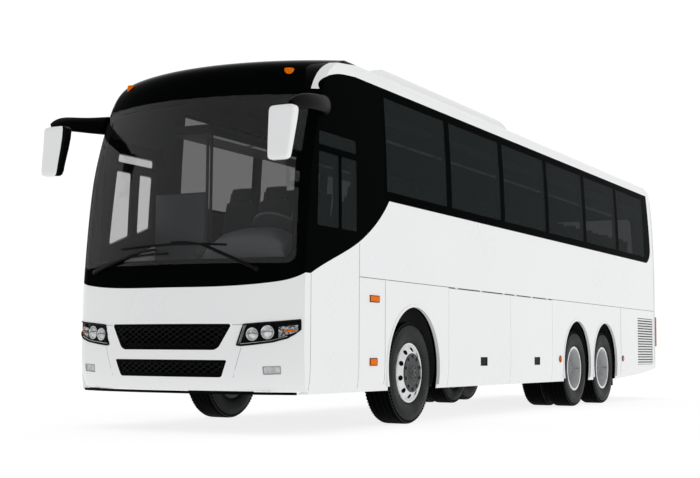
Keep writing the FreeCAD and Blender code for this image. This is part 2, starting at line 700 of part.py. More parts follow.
def rim(x_outer, y, z, facing, disc_in, dish):
    """Steel rim with its disc; disc_in is the disc's depth behind the outer face."""
    half = TYRE_WIDTH / 2
    r0 = RIM_R
    barrel = [(0, RIM_FLANGE_R), (14, RIM_FLANGE_R), (20, r0), (TYRE_WIDTH - 56, r0), (TYRE_WIDTH - 50, RIM_FLANGE_R),
              (TYRE_WIDTH - 36, RIM_FLANGE_R), (TYRE_WIDTH - 36, r0 - 14), (disc_in + 16, r0 - 14), (disc_in + 16 + dish, HUB_R),
              (disc_in + 16 + dish, 70), (disc_in + dish, 70), (disc_in + dish, HUB_R), (disc_in, r0 - 18), (0, r0 - 10)]
    wire = Part.makePolygon([V(-facing * (d + 18), 0, r) for d, r in barrel + barrel[:1]])
    body = Part.Face(wire).revolve(V(0, 0, 0), V(1, 0, 0), 360)
    hole_count = 10
    for i in range(hole_count):
        angle = 2 * math.pi * i / hole_count
        r = (HUB_R + r0) / 2 + 8
        start = V(-400, r * math.cos(angle), r * math.sin(angle))
        body = body.cut(rod(start, start + V(800, 0, 0), 28))
    body.translate(V(x_outer, y, z))
    return body


def hub(x0, x1, y, z):
    """Turned hub that runs on the spindle."""
    return rod(V(x0, y, z), V(x1, y, z), 88).cut(rod(V(x0 - 500, y, z), V(x1 + 500, y, z), SPINDLE_R + FIT))


def cap_disc(x0, x1, y, z):
    """Closed hub cap."""
    return rod(V(x0, y, z), V(x1, y, z), 88)


def wheels():
    """All six wheels and their tyres."""
    for side, facing in (("left", 1), ("right", -1)):
        x = facing * TYRE_FACE_X
        depth = facing * -1
        tyre_shape = tyre(x, 0, TYRE_R, facing)
        rim_shape = rim(x, 0, TYRE_R, facing, 75, -35)
        hub_shape = hub(x + depth * 60, x + depth * 175, 0, TYRE_R)
        cover = cap_disc(x + depth * 30, x + depth * 60, 0, TYRE_R)
        keep("tyre_front_%s" % side, tyre_shape)
        keep("rim_front_%s" % side, fused([rim_shape, hub_shape, cover]))
        twin = facing * TWIN_PITCH
        tyres = [tyre(x, DRIVE_AXLE_Y, TYRE_R, facing), tyre(x - twin, DRIVE_AXLE_Y, TYRE_R, facing)]
        outer = rim(x, DRIVE_AXLE_Y, TYRE_R, facing, 195, -20)
        inner = rim(x - twin, DRIVE_AXLE_Y, TYRE_R, facing, 60, 20)
        hub_shape = hub(x + depth * 115, x + depth * 470, DRIVE_AXLE_Y, TYRE_R)
        cover = cap_disc(x + depth * 85, x + depth * 115, DRIVE_AXLE_Y, TYRE_R)
        keep("tyre_drive_%s" % side, *tyres)
        keep("rim_drive_%s" % side, fused([outer, inner, hub_shape, cover]))
        hub_shape = hub(x + depth * 115, x + depth * 300, TAG_AXLE_Y, TYRE_R)
        cover = cap_disc(x + depth * 85, x + depth * 115, TAG_AXLE_Y, TYRE_R)
        keep("tyre_tag_%s" % side, tyre(x, TAG_AXLE_Y, TYRE_R, facing))
        keep("rim_tag_%s" % side, fused([rim(x, TAG_AXLE_Y, TYRE_R, facing, 195, -20), hub_shape, cover]))


def axle_casing(half_profile, y, top):
    """Turned rear axle casing with the two air springs that stand on it."""
    profile = half_profile + [(-x, r) for x, r in half_profile[::-1]]
    wire = Part.makePolygon([V(x, 0, r) for x, r in profile + profile[:1]])
    casing = Part.Face(wire).revolve(V(0, 0, 0), V(1, 0, 0), 360)
    casing.translate(V(0, y, TYRE_R))
    springs = [rod(V(s * RAIL_X, y, TYRE_R), V(s * RAIL_X, y, top), SPRING_R) for s in (1, -1)]
    return fused([casing] + springs)


def running_gear():
    """Front beam and knuckles, drive and tag axles, and the air springs that carry the frame."""
    z = TYRE_R
    bottom = RAIL_Z[0]
    head = 60.0
    beam = fused([box(-KINGPIN_X + 120, KINGPIN_X - 120, -45, 45, z - 140, z - 40),
                  box(KINGPIN_X - 200, KINGPIN_X - 80, -45, 45, z - 140, z + head),
                  box(-KINGPIN_X + 80, -KINGPIN_X + 200, -45, 45, z - 140, z + head),
                  box(KINGPIN_X - 100, KINGPIN_X + 45, -45, 45, z - head, z + head),
                  box(-KINGPIN_X - 45, -KINGPIN_X + 100, -45, 45, z - head, z + head)])
    pins = [rod(V(s * KINGPIN_X, 0, z - 120), V(s * KINGPIN_X, 0, z + 120), KINGPIN_R) for s in (1, -1)]
    springs = [rod(V(s * RAIL_X, 0, z - 45), V(s * RAIL_X, 0, bottom), SPRING_R) for s in (1, -1)]
    front = fused([beam] + pins + springs)
    drive_end = TYRE_FACE_X - 120
    banjo = [(drive_end, 0), (drive_end, SPINDLE_R), (740, SPINDLE_R), (740, 80), (260, 80), (120, 200)]
    drive = axle_casing(banjo, DRIVE_AXLE_Y, bottom)
    tag = axle_casing([(drive_end, 0), (drive_end, SPINDLE_R), (880, SPINDLE_R), (880, 70)], TAG_AXLE_Y, bottom)
    keep("axle_beams", front, drive, tag)
    for side, s in (("left", 1), ("right", -1)):
        fork = box(KINGPIN_X - 50, KINGPIN_X + 92, -48, 48, z - 115, z + 115)
        fork = fork.cut(box(KINGPIN_X - 130, KINGPIN_X + 72, -60, 60, z - head - 5, z + head + 5))
        fork = fork.cut(rod(V(KINGPIN_X, 0, z - 300), V(KINGPIN_X, 0, z + 300), KINGPIN_R + FIT))
        spindle = rod(V(KINGPIN_X + 80, 0, z), V(TYRE_FACE_X - 65, 0, z), SPINDLE_R)
        knuckle = fused([fork, spindle])
        keep("knuckle_%s" % side, knuckle if s > 0 else mirrored(knuckle))


def housing(y, z, radius, x0):
    """Wheel housing of the driver's side, open outwards and below."""
    def arch(r, start, end):
        return rod(V(start, y, z), V(end, y, z), r).fuse(box(start, end, y - r, y + r, SKIRT_Z + 30, z))
    shell = arch(radius + HOUSING_T, x0 - HOUSING_T, HALF_WIDTH - WALL - FIT).cut(arch(radius, x0, HALF_WIDTH))
    return shell.cut(box(0, 1500, y - 900, y + 900, -400, SKIRT_Z + 30)).common(INSIDE)


def housings():
    """Wheel housings with the mud flap behind the tag wheels."""
    front = housing(0, FRONT_ARCH_Z, 665, 545)
    drive = housing(DRIVE_ARCH_Y, REAR_ARCH_Z, 640, 545)
    tag = housing(TAG_ARCH_Y, REAR_ARCH_Z, 640, 545)
    drive = drive.cut(box(0, 700, DRIVE_AXLE_Y - 95, DRIVE_AXLE_Y + 95, 0, TYRE_R + 95))
    tag = tag.cut(box(0, 700, TAG_AXLE_Y - 95, TAG_AXLE_Y + 95, 0, TYRE_R + 95))
    front = front.cut(box(0, 700, -260, 260, 0, TYRE_R + 150))
    flap_y = TAG_ARCH_Y + 640
    flap_piece = box(900, HALF_WIDTH - WALL - 35, flap_y, flap_y + HOUSING_T, 250, SKIRT_Z + 60)
    tag = tag.fuse(flap_piece)
    pieces = [front, drive, tag]
    keep("wheel_housings", *(pieces + [mirrored(p) for p in pieces]))


def floors():
    """Passenger floor, cab floor with the entrance steps, and the luggage floor."""
    upper = box(-1400, 1400, FLOOR_FRONT_Y, 9700, FLOOR_Z - FLOOR_T, FLOOR_Z).common(INSIDE)
    riser = box(-1400, 1400, FLOOR_FRONT_Y - 30, FLOOR_FRONT_Y, CAB_FLOOR_Z - FLOOR_T, FLOOR_Z).common(INSIDE)
    cab = box(-1400, 1400, -2700, FLOOR_FRONT_Y - 30, CAB_FLOOR_Z - FLOOR_T, CAB_FLOOR_Z).common(INSIDE)
    well_y0 = DOOR_FRONT_Y + 20
    well_y1 = FLOOR_FRONT_Y - 60
    cab = cab.cut(box(-1400, -560, well_y0, well_y1, 0, 2000))
    steps = []
    treads = [(-1214, -940, 430), (-940, -750, 670), (-750, -560, 910)]
    for x0, x1, z in treads:
        steps.append(box(x0, x1, well_y0, well_y1, z - 40, z))
        steps.append(box(x1, x1 + 20, well_y0, well_y1, z - 40, z + 240))
    steps.append(box(-1214, -540, well_y0 - 20, well_y0, 390, CAB_FLOOR_Z))
    steps.append(box(-1214, -540, well_y1, well_y1 + 20, 390, CAB_FLOOR_Z))
    passenger = fused([upper, riser, cab] + [step.common(INSIDE) for step in steps])
    bay = box(-1400, 1400, FLAP_Y[0] - 45, FLAP_Y[2] + 45, BAY_FLOOR_Z - BAY_FLOOR_T, BAY_FLOOR_Z).common(INSIDE)
    keep("floors", passenger, bay)


def frame():
    """Rails and sills, and between them bulkheads, cross members, outriggers and towing plates."""
    r0, r1 = RAIL_Z
    front_y = -2200.0
    rear_y = 9560.0
    bulk_front = FLAP_Y[0] - 45
    bulk_rear = FLAP_Y[2] + 45
    inner = RAIL_X - RAIL_W / 2
    outer = RAIL_X + RAIL_W / 2
    rails = []
    for s in (1, -1):
        lo, hi = sorted((s * inner, s * outer))
        rails.append(box(lo, hi, front_y, bulk_front - BULKHEAD_T, r0, r1))
        rails.append(box(lo, hi, bulk_rear + BULKHEAD_T, rear_y, r0, r1))
        lo, hi = sorted((s * 1120, s * 1180))
        rails.append(box(lo, hi, bulk_front, bulk_rear, SKIRT_Z + 5, BAY_FLOOR_Z - BAY_FLOOR_T))
    keep("frame_rails", *rails)
    crossed = [box(-1180, 1180, y, y + BULKHEAD_T, SKIRT_Z + 5, FLOOR_Z - FLOOR_T)
               for y in (bulk_front - BULKHEAD_T, bulk_rear)]
    for y in (-900, 4700, 6020, 7500):
        crossed.append(box(-inner, inner, y, y + 60, r0 + 30, r1 - 30))
    for y, tip in ((front_y, -1), (rear_y, 1)):
        member = box(-inner, inner, min(y, y - tip * 60), max(y, y - tip * 60), r0 + 30, r1 - 30)
        plate = box(-60, 60, min(y, y + tip * 110), max(y, y + tip * 110), TOW_Z - 15, TOW_Z + 15)
        eye_y = y + tip * TOW_REACH
        crossed.append(fused([member, plate]).cut(rod(V(0, eye_y, TOW_Z - 60), V(0, eye_y, TOW_Z + 60), TOW_R)))
    for s in (1, -1):
        for y in (-1100, 725, 4600, 7700, 9300):
            lo, hi = sorted((s * outer, s * (HALF_WIDTH - WALL - FIT - 20)))
            arm = box(lo, hi, y, y + 50, r0 + 60, r1 - 40)
            for pad_y in JACK_Y:
                if abs(pad_y - y) < 100:
                    arm = fused([arm, box(s * JACK_X - 60, s * JACK_X + 60, pad_y - 50, pad_y + 50, JACK_Z, r1 - 40)])
            crossed.append(arm)
    keep("cross_members", *crossed)


def cabin():
    """Dashboard, seats and overhead racks."""
    dash = side_prism(outline([(-2420, CAB_FLOOR_Z), [(-2430, 1440), (-2300, 1500), (-2100, 1560), (-1900, 1600), (-1800, 1540)],
                               (-1840, CAB_FLOOR_Z)], in_side), -1190, 1190).common(INSIDE)
    hump = side_prism(outline([(-2150, 1500), [(-2150, 1560), (-2050, 1690), (-1900, 1740), (-1800, 1700)], (-1800, 1500)], in_side), 300, 980)
    centre = V(640, -1700, 1900)
    axis = V(0, 0.5, 0.87).normalize()
    wheel = Part.makeTorus(225, 14, centre, axis)
    spoke = Part.makeCylinder(222, 12, centre - axis * 12, axis).cut(Part.makeCylinder(300, 40, centre - axis * 20 + V(0, 340, 0), axis))
    column = rod(V(640, -1850, 1640), centre, 32)
    well = box(-1400, -520, -2400, DOOR_REAR_Y, 0, 4000)
    keep("dashboard", fused([dash.cut(well.common(box(-1400, -520, -1990, 0, 0, 4000))), hump, wheel, spoke, column]))
    rows = []
    row_count = 11
    pitch = 800.0
    first = -350.0
    for i in range(row_count):
        y = first + pitch * i
        for s in (1, -1):
            rows.append(seat(y, FLOOR_Z, s * 760, 440))
    rows.append(seat(-1650, CAB_FLOOR_Z, 650, 250))
    keep("seats", *rows)
    racks = []
    for s in (1, -1):
        rack = side_prism(rounded([(-900, 3020), (9200, 3020), (9200, 3120), (-900, 3120)], 20, in_side), 720, 1400).common(INSIDE)
        racks.append(rack if s > 0 else mirrored(rack))
    keep("luggage_racks", *racks)


def seat(y, floor_z, x, half):
    """One seat block with back, standing on its floor."""
    base = outline([(y, floor_z + 300), (y + 480, floor_z + 300), [(y + 500, floor_z + 480), (y + 600, floor_z + 1130)],
                    (y + 480, floor_z + 1150), [(y + 460, floor_z + 1100), (y + 370, floor_z + 500)],
                    (y, floor_z + 460)], in_side)
    body = side_prism(base, x - half, x + half)
    foot = box(x - half + 60, x + half - 60, y + 150, y + 400, floor_z, floor_z + 320)
    return body.fuse(foot)


def horn(stations):
    """Tapering arm of oval section through stations of centre, heading, half depth and half thickness."""
    wires = []
    for centre, heading, depth, thickness in stations:
        side = heading.cross(V(0, 0, 1)).normalize()
        up = side.cross(heading).normalize()
        wires.append(Part.Wire([Part.Ellipse(centre + up * depth, centre + side * thickness, centre).toShape()]))
    return Part.makeLoft(wires, True, False)


def mirrors():
    """Outside mirrors on horn arms."""
    head = box(1160, 1440, -FRONT_REACH, -2612, 2365, 2890)
    head = head.makeFillet(58, head.Edges)
    stations = [(V(1170, -1830, 2978), V(0.75, -0.6, 0), 100, 88), (V(1262, -1935, 2974), V(0.5, -0.8, 0), 90, 56),
                (V(1322, -2110, 2955), V(0.2, -0.98, -0.05), 78, 38), (V(1345, -2330, 2932), V(0, -1, -0.12), 70, 33),
                (V(1335, -2520, 2895), V(-0.05, -0.95, -0.3), 62, 32), (V(1322, -2640, 2835), V(-0.05, -0.7, -0.7), 50, 30)]
    arm = horn(stations).cut([OUTER, head])
    keep("mirrors", head, mirrored(head))
    keep("mirror_arms", arm, mirrored(arm))


def nose_y(x, z):
    """Place along the coach of the nose surface, inboard of its corners."""
    for (z0, y0), (z1, y1) in zip(NOSE, NOSE[1:]):
        if z0 <= z <= z1:
            centre = y0 + (y1 - y0) * (z - z0) / (z1 - z0)
    radius = nose_plan_r(z)
    return centre + radius - math.sqrt(radius ** 2 - x * x)


def wipers():
    """Two wipers parked across the foot of the screen."""
    pieces = []
    for pivot_x, elbow_x, elbow_z, x0, x1 in ((905, 395, 1675, -520, 630), (-905, -370, 1603, -620, 330)):
        pivot = V(pivot_x, nose_y(pivot_x, BELT_Z), BELT_Z)
        lift = V(0, -WIPER_LIFT, 0)
        elbow = V(elbow_x, nose_y(elbow_x, elbow_z), elbow_z) + lift
        post = rod(pivot + V(0, 30, 0), pivot + lift - V(0, 12, 0), 26).cut(OUTER)
        arm = rod(pivot + lift, elbow, 11).fuse(Part.makeSphere(16, elbow))
        ends = []
        for x, z in ((x0, elbow_z - 8), ((x0 + x1) / 2, elbow_z), (x1, elbow_z + 12)):
            ends.append(V(x, nose_y(x, z) - WIPER_LIFT + 12, z))
        spine = Part.Wire([Part.Arc(*ends).toShape()])
        blade = spine.makePipeShell([Part.Wire([Part.Circle(ends[0], V(1, 0, 0), 9).toShape()])], True, True)
        pieces.append(fused([post, arm, blade]))
    keep("wipers", *pieces)


def front_lamps(bumper):
    """Head and fog lamp units set in the bumper."""
    over_seam = [(x, z + 1.5) for x, z in BUMPER_SEAM[1:5]]
    head_outline = outline([(703, 786), over_seam, [(1246, 925), (1195, 884), (1138, 850), (1019, 816), (874, 796),
                                                    (745, 782)]], in_front)
    fog_outline = rounded([(935, 527), (1082, 533), (1082, 606), (925, 600)], 15, in_front)
    units = []
    for wire in (head_outline, fog_outline):
        area = front_prism(wire, -2900, CORNER_Y)
        for shape in (area, mirrored(area)):
            unit = SHELL.common(shape)
            units.append(unit)
            bumper = bumper.cut(shape)
    return bumper, units


def small_lamps():
    """Side, roof and tail lamps, standing a little proud."""
    pieces = []
    for y0, y1, z0, z1 in ((-1020, -830, 1219, 1271), (-1016, -869, 609, 666)):
        pieces.append(box(HALF_WIDTH + FIT, HALF_WIDTH + 12, y0, y1, z0, z1))
    for y, z in ((4610, 656), (7595, 660)):
        pieces.append(rod(V(HALF_WIDTH + FIT, y, z), V(HALF_WIDTH + 14, y, z), 36))
    marker_x, marker_z = 903.0, 3308.0
    marker = V(marker_x, nose_y(marker_x, marker_z) + 20, marker_z)
    roof_lamp = rod(marker - V(0, 0, 32), marker + V(0, 0, 32), 46).cut(OUTER)
    pieces.append(roof_lamp)
    proud = OUTER.copy()
    proud.translate(V(14, 14, 0))
    tail = proud.common(box(1080, 1400, TAIL_SEAM_Y + 60, REAR_END, 860, 1345)).cut(MESH_BACK)
    pieces.append(tail)
    return pieces, tail


def build():
    """Model every piece."""
    panes, door_area = sides()
    surround, cab_panes, bumper = front_end(door_area)
    leaf, door_panes, centres = entrance_door(surround, door_area)
    rear_pane, rear_bumper = tail_end()
    hinge_host = surround
    low = [c for c in centres if c.z < 1500]
    skirt_solids = PARTS["skirt_panels"]
    strip = [s for s in skirt_solids if s.BoundBox.XMax < 0 and s.BoundBox.YMax < DOOR_FRONT_Y + 5][0]
    others = [s for s in skirt_solids if not s.isSame(strip)]
    strip, leaf = hang(strip, leaf, low, V(0, 0, 1), V(0, 1, 0))
    hinge_host, leaf = hang(hinge_host, leaf, [c for c in centres if c.z >= 1500], V(0, 0, 1), V(0, 1, 0))
    keep("skirt_panels", *(others + [strip]))
    keep("windscreen_surround", hinge_host)
    keep("entrance_door", leaf)
    keep("entrance_door_glass", *door_panes)
    keep("window_glass", *(panes + cab_panes + [rear_pane]))
    bumper, units = front_lamps(bumper)
    panel = PARTS["front_panel"][0]
    for unit in units[:2]:
        panel = panel.cut(unit)
    keep("front_panel", panel)
    keep("headlamps", *units)
    markers, tail = small_lamps()
    keep("lamps", *(markers + [mirrored(m) for m in markers]))
    wall = Part.makeCompound(PARTS["rear_wall"])
    wall = wall.cut(tail.fuse(mirrored(tail)))
    keep("rear_wall", wall)
    keep("front_bumper", bumper)
    keep("rear_bumper", rear_bumper)
    keep("engine_block", box(-RAIL_X + RAIL_W / 2 + FIT, RAIL_X - RAIL_W / 2 - FIT, 8000, 9400, 560, 1250))
    wheels()
    running_gear()
    housings()
    floors()
    frame()
    cabin()
    mirrors()
    wipers()
    roof_pod()


def roof_pod():
    """Air conditioning pod on the roof."""
    wire = outline([(-150, 3600), [(-100, 3655), (150, 3740), (500, 3850), (800, 3868)], (3700, 3868),
                    [(4050, 3850), (4350, 3740), (4560, 3640)], (4560, 3600)], in_side)
    crown = rounded([(-650, 3400), (650, 3400), (650, 3868), (-650, 3868)], 70, in_front)
    pod = side_prism(wire, -650, 650).common(front_prism(crown, -200, 4600))
    keep("roof_pod", pod.cut(OUTER))


def export():
    """Write each piece, with the origin under the middle of the coach."""
    os.makedirs("parts", exist_ok=True)
    shift = V(0, -(REAR_END - FRONT_REACH) / 2, 0)
    for name, solids in PARTS.items():
        shape = solids[0].copy() if len(solids) == 1 else Part.makeCompound(solids)
        shape.translate(shift)
        shape.exportStep("parts/%s.step" % name)


build()
export()
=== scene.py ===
"""Three-axle touring coach: paint, glass, rubber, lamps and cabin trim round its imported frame, in a studio."""
import json
import logging
import math
from dataclasses import dataclass, replace
from enum import Enum
from typing import Callable, Iterable, Self

import bmesh
import bpy
from mathutils import Matrix, Vector
from mathutils.bvhtree import BVHTree

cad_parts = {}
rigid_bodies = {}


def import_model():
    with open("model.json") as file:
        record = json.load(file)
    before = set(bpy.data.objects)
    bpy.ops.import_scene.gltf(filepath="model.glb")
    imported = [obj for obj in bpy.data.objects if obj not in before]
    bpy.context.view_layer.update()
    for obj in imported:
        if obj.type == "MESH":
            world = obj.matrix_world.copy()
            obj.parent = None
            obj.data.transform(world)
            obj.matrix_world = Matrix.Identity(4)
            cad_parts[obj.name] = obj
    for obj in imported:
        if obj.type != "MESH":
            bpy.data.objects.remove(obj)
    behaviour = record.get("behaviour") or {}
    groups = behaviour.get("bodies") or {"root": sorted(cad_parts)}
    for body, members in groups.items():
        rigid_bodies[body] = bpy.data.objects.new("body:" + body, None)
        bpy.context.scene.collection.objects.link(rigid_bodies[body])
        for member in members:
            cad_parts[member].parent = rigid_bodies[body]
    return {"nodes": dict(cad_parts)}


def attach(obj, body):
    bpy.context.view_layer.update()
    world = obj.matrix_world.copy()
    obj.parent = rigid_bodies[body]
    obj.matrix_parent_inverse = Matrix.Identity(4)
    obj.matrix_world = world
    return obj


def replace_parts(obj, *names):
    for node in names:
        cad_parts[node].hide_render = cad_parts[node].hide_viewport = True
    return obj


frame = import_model()        # nodes of the imported coach

Pair = tuple[float, float]
Rows = tuple[Pair, ...]                       # an outline, a path or a profile
Box = tuple[tuple[float, float, float], tuple[float, float, float]]      # two opposite corners
Picks = Callable[[Vector, Vector], bool]      # tells from a face's middle and its normal whether it is meant
Test = tuple[str, str, tuple[tuple[str, float], ...]]      # of a mask, see Finish.mask

LOG = logging.getLogger("coach")
MILLIMETRE = 0.001
UP = Vector((0, 0, 1))
BODY = "coach_body"
ROW_Y = -3.5                     # the front axle's place; stations along the coach are given from there
AXLE_Z = 0.522
AXLES = {"front": 0.0, "drive": 5.4, "tag": 6.72}
TYRE_FACE_X = 1.228
TWIN_PITCH = 0.335
CABIN_CENTRE_Z = 2.0
CAB_FLOOR_Z = 1.42
NOSE_DEPTH = -2.1
ARCH_RIM_X = 1.245
HORN_EDGE_X = 1.142
HORN_END_Y = -1.3
TAIL_LAMP_Y = 9.4
LOUVRES_Y = (8.45, 9.38)
LOUVRE_X = (1.15, 1.264)
LOUVRE_LOW_Z = 0.55
LOUVRE_TILT = 0.6                # of a normal times the place across the coach, like the next two
SKIRT_BACK_TILT = -0.5
WALL_BACK_TILT = -0.02
NOSE_BACK_TILT = 0.2             # of the normal's Y alone, like the next two
LENS_TILT = -0.15
TAIL_LENS_TILT = 0.5
FOG_TOP_Z = 0.7
DASH_TOP_Z = 1.84
PANE_FIRST_Y = -0.72
PANE_PITCH = 1.62
PANE_BORDER = 0.07
PANE_MIDDLE_Z = 2.80
PANE_HALF_HEIGHT = 0.475
SWEEP = ((-2.17, 1.427), (-1.965, 1.509), (-1.529, 1.662), (-1.245, 1.775), (-0.999, 1.909), (-0.805, 2.044))


class Side(Enum):
    """Side of the coach, with the sign of X there; the driver sits on the left."""

    LEFT = 1
    RIGHT = -1

    @property
    def word(self) -> str:
        """Return the side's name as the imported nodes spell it."""
        return self.name.lower()

    @property
    def out(self) -> Vector:
        """Return the direction away from the coach."""
        return Vector((self.value, 0, 0))

    def at(self, x: float, y: float, z: float) -> Vector:
        """Return a place from its distance to the middle plane, its station and its height."""
        return Vector((self.value * x, y + ROW_Y, z))


at = Side.LEFT.at                # the same for a place that is given by its X itself


class Relief(Enum):
    """How a surface was made, which settles the small relief that it carries."""

    SPRAYED = "orange peel of sprayed enamel"
    MOULDED = "fine grain of a moulded plastic"
    CAST = "skin of a sand casting"
    ROLLED = "sheet or section as it was rolled"
    TURNED = "rings of turning or polishing round the X axis"
    CURED = "rubber as it left the mould"
    WOVEN = "pile of a woven cloth"
    SMOOTH = "float glass or polished lens"


def around(count: int, phase: float = 0.0) -> list[float]:
    """Return evenly spaced angles round a circle, moved on by a share of one step."""
    return [2 * math.pi * (i + phase) / count for i in range(count)]


def spaced(low: float, high: float, count: int) -> list[float]:
    """Return the ends of as many equal steps from low to high, both ends included."""
    return [low + (high - low) * i / count for i in range(count + 1)]


def spoke(angle: float) -> Vector:
    """Return the direction of an angle round a wheel's axle."""
    return Vector((0, math.cos(angle), math.sin(angle)))


def squared(value: float, power: float) -> float:
    """Return a sine or cosine raised to a power with its sign kept, which makes a circle squarer."""
    return math.copysign(abs(value) ** power, value)


def facing(point: Vector, heading: Vector) -> Matrix:
    """Return a place at a point whose Z axis points along a heading."""
    return Matrix.Translation(point) @ heading.to_track_quat("Z", "Y").to_matrix().to_4x4()


def linear(hex_colour: str) -> tuple[float, float, float, float]:
    """Turn an sRGB hex colour into linear light.

    Args:
        hex_colour: Six hex digits after a hash.

    Returns:
        Red, green, blue and an alpha of one.
    """
    shares = [int(hex_colour[i:i + 2], 16) / 255 for i in (1, 3, 5)]
    return *(s / 12.92 if s <= 0.04045 else ((s + 0.055) / 1.055) ** 2.4 for s in shares), 1.0


def feed(node: bpy.types.Node, inputs: dict[str | int, object]) -> None:
    """Fill inputs of a node.

    Args:
        node: The node.
        inputs: A socket to link from, or else a constant, by the input's name or number.
    """
    for name, value in inputs.items():
        if isinstance(value, bpy.types.NodeSocket):
            node.id_data.links.new(value, node.inputs[name])
        else:
            node.inputs[name].default_value = value


def add_node(tree: bpy.types.NodeTree, kind: str, output: str | int, inputs: dict[str | int, object],
             **settings: object) -> bpy.types.NodeSocket:
    """Add a node to a tree with its settings, constants and links.

    Args:
        tree: Shader or geometry tree.
        kind: Blender's type name of the node.
        output: Name or number of the output that is wanted.
        inputs: A socket to link from, or else a constant, by the input's name or number.
        settings: Attributes of the node itself.

    Returns:
        The wanted output.
    """
    node = tree.nodes.new(kind)
    for name, value in settings.items():
        setattr(node, name, value)
    feed(node, inputs)
    return node.outputs[output]


@dataclass(frozen=True)
class Finish:
    """One real surface: its colour and gloss, and the relief that its making left."""

    name: str
    colour: str
    shade: str
    relief: Relief
    roughness: float
    spread: float = 0.05
    grain_mm: float = 3.0
    depth_mm: float = 0.1
    blotch_mm: float = 400.0
    metallic: float = 0.0
    ior: float = 1.5
    specular: float = 0.5
    sheen: float = 0.0
    alpha: float = 1.0
    glow: float = 0.0
    contrast: float = 1.0

    def material(self) -> bpy.types.Material:
        """Return the material of this finish, made on its first use."""
        return bpy.data.materials.get(self.name) or self.build()

    @property
    def shader(self) -> bpy.types.Node:
        """Return the shader of this finish's material."""
        return self.material().node_tree.nodes["Principled BSDF"]

    def build(self) -> bpy.types.Material:
        """Build the shader: blotches of colour, uneven gloss and the relief's bump.

        Returns:
            The new material.
        """
        made = bpy.data.materials.new(self.name)
        made.use_nodes = True
        tree = made.node_tree
        place = add_node(tree, "ShaderNodeTexCoord", "Object", {})
        blotch = add_node(tree, "ShaderNodeTexNoise", "Fac", {
            "Vector": place, "Scale": 1 / (self.blotch_mm * MILLIMETRE), "Detail": 4.0, "Roughness": 0.6})
        share = add_node(tree, "ShaderNodeMapRange", "Result", {
            "Value": blotch, "From Min": 0.5 - 0.5 / self.contrast, "From Max": 0.5 + 0.5 / self.contrast})
        tint = add_node(tree, "ShaderNodeMix", 2, {
            "Factor": share, 6: linear(self.colour), 7: linear(self.shade)}, data_type="RGBA")
        gloss = add_node(tree, "ShaderNodeMapRange", "Result", {
            "Value": blotch, "From Min": 0.3, "From Max": 0.7,
            "To Min": max(self.roughness - self.spread, 0.0),
            "To Max": min(self.roughness + self.spread, 1.0)})
        feed(self.shader, {
            "Base Color": tint, "Roughness": gloss, "Metallic": self.metallic, "IOR": self.ior,
            "Specular IOR Level": self.specular, "Sheen Weight": self.sheen, "Alpha": self.alpha,
            "Emission Color": linear(self.colour), "Emission Strength": self.glow})
        if self.relief is not Relief.SMOOTH:
            feed(self.shader, {"Normal": add_node(tree, "ShaderNodeBump", "Normal", {
                "Height": self.height(tree, place), "Distance": self.depth_mm * MILLIMETRE, "Strength": 1.0})})
        return made

    def height(self, tree: bpy.types.NodeTree, place: bpy.types.NodeSocket) -> bpy.types.NodeSocket:
        """Add the nodes of the relief.

        Args:
            tree: The material's tree.
            place: Object coordinates.

        Returns:
            Height from 0 to 1.
        """
        scale = 1 / (self.grain_mm * MILLIMETRE)
        if self.relief is Relief.CAST:
            return add_node(tree, "ShaderNodeTexVoronoi", "Distance", {"Vector": place, "Scale": scale})
        if self.relief is Relief.WOVEN:
            waves = [add_node(tree, "ShaderNodeTexWave", "Fac", {
                "Vector": place, "Scale": scale / 6, "Distortion": 0.6}, bands_direction=axis)
                for axis in "YZ"]
            return add_node(tree, "ShaderNodeMath", 0, dict(enumerate(waves)), operation="MULTIPLY")
        stretch = {Relief.TURNED: (1.0, 0.02, 0.02), Relief.ROLLED: (1.0, 0.1, 1.0)}
        placed = add_node(tree, "ShaderNodeMapping", "Vector", {
            "Vector": place, "Scale": stretch.get(self.relief, (1.0, 1.0, 1.0))})
        return add_node(tree, "ShaderNodeTexNoise", "Fac", {
            "Vector": placed, "Scale": scale, "Detail": 3.0, "Roughness": 0.55})

    def mask(self, joins: tuple[str, ...], *tests: Test) -> bpy.types.NodeSocket:
        """Add the nodes of a mask.

        Args:
            joins: Operation that joins each further test to those before it.
            tests: For each, "place" or "normal", its axis, and the operations that take it to zero or one.

        Returns:
            One on the masked faces.
        """
        tree = self.material().node_tree
        sources = {"place": add_node(tree, "ShaderNodeTexCoord", "Object", {}),
                   "normal": add_node(tree, "ShaderNodeNewGeometry", "True Normal", {})}
        whole = None
        for join, (source, axis, stages) in zip(("", *joins), tests):
            value = add_node(tree, "ShaderNodeSeparateXYZ", axis, {"Vector": sources[source]})
            for operation, operand in stages:
                value = add_node(tree, "ShaderNodeMath", 0, {0: value, 1: operand}, operation=operation)
            whole = value if whole is None else add_node(tree, "ShaderNodeMath", 0, {0: whole, 1: value},
                                                         operation=join)
        return whole

    def overlay(self, mask: bpy.types.NodeSocket, colour: str, levels: dict[str, float]) -> None:
        """Lay another colour over this finish.

        Args:
            mask: One where the other colour shows.
            colour: That colour.
            levels: Value there of further inputs of the shader.
        """
        inputs = self.shader.inputs
        under = inputs["Base Color"].links[0].from_socket
        fed = {"Base Color": add_node(mask.id_data, "ShaderNodeMix", 2, {
            "Factor": mask, 6: under, 7: linear(colour)}, data_type="RGBA")}
        for name, level in levels.items():
            fed[name] = add_node(mask.id_data, "ShaderNodeMapRange", "Result", {
                "Value": mask, "To Min": inputs[name].default_value, "To Max": level})
        feed(self.shader, fed)


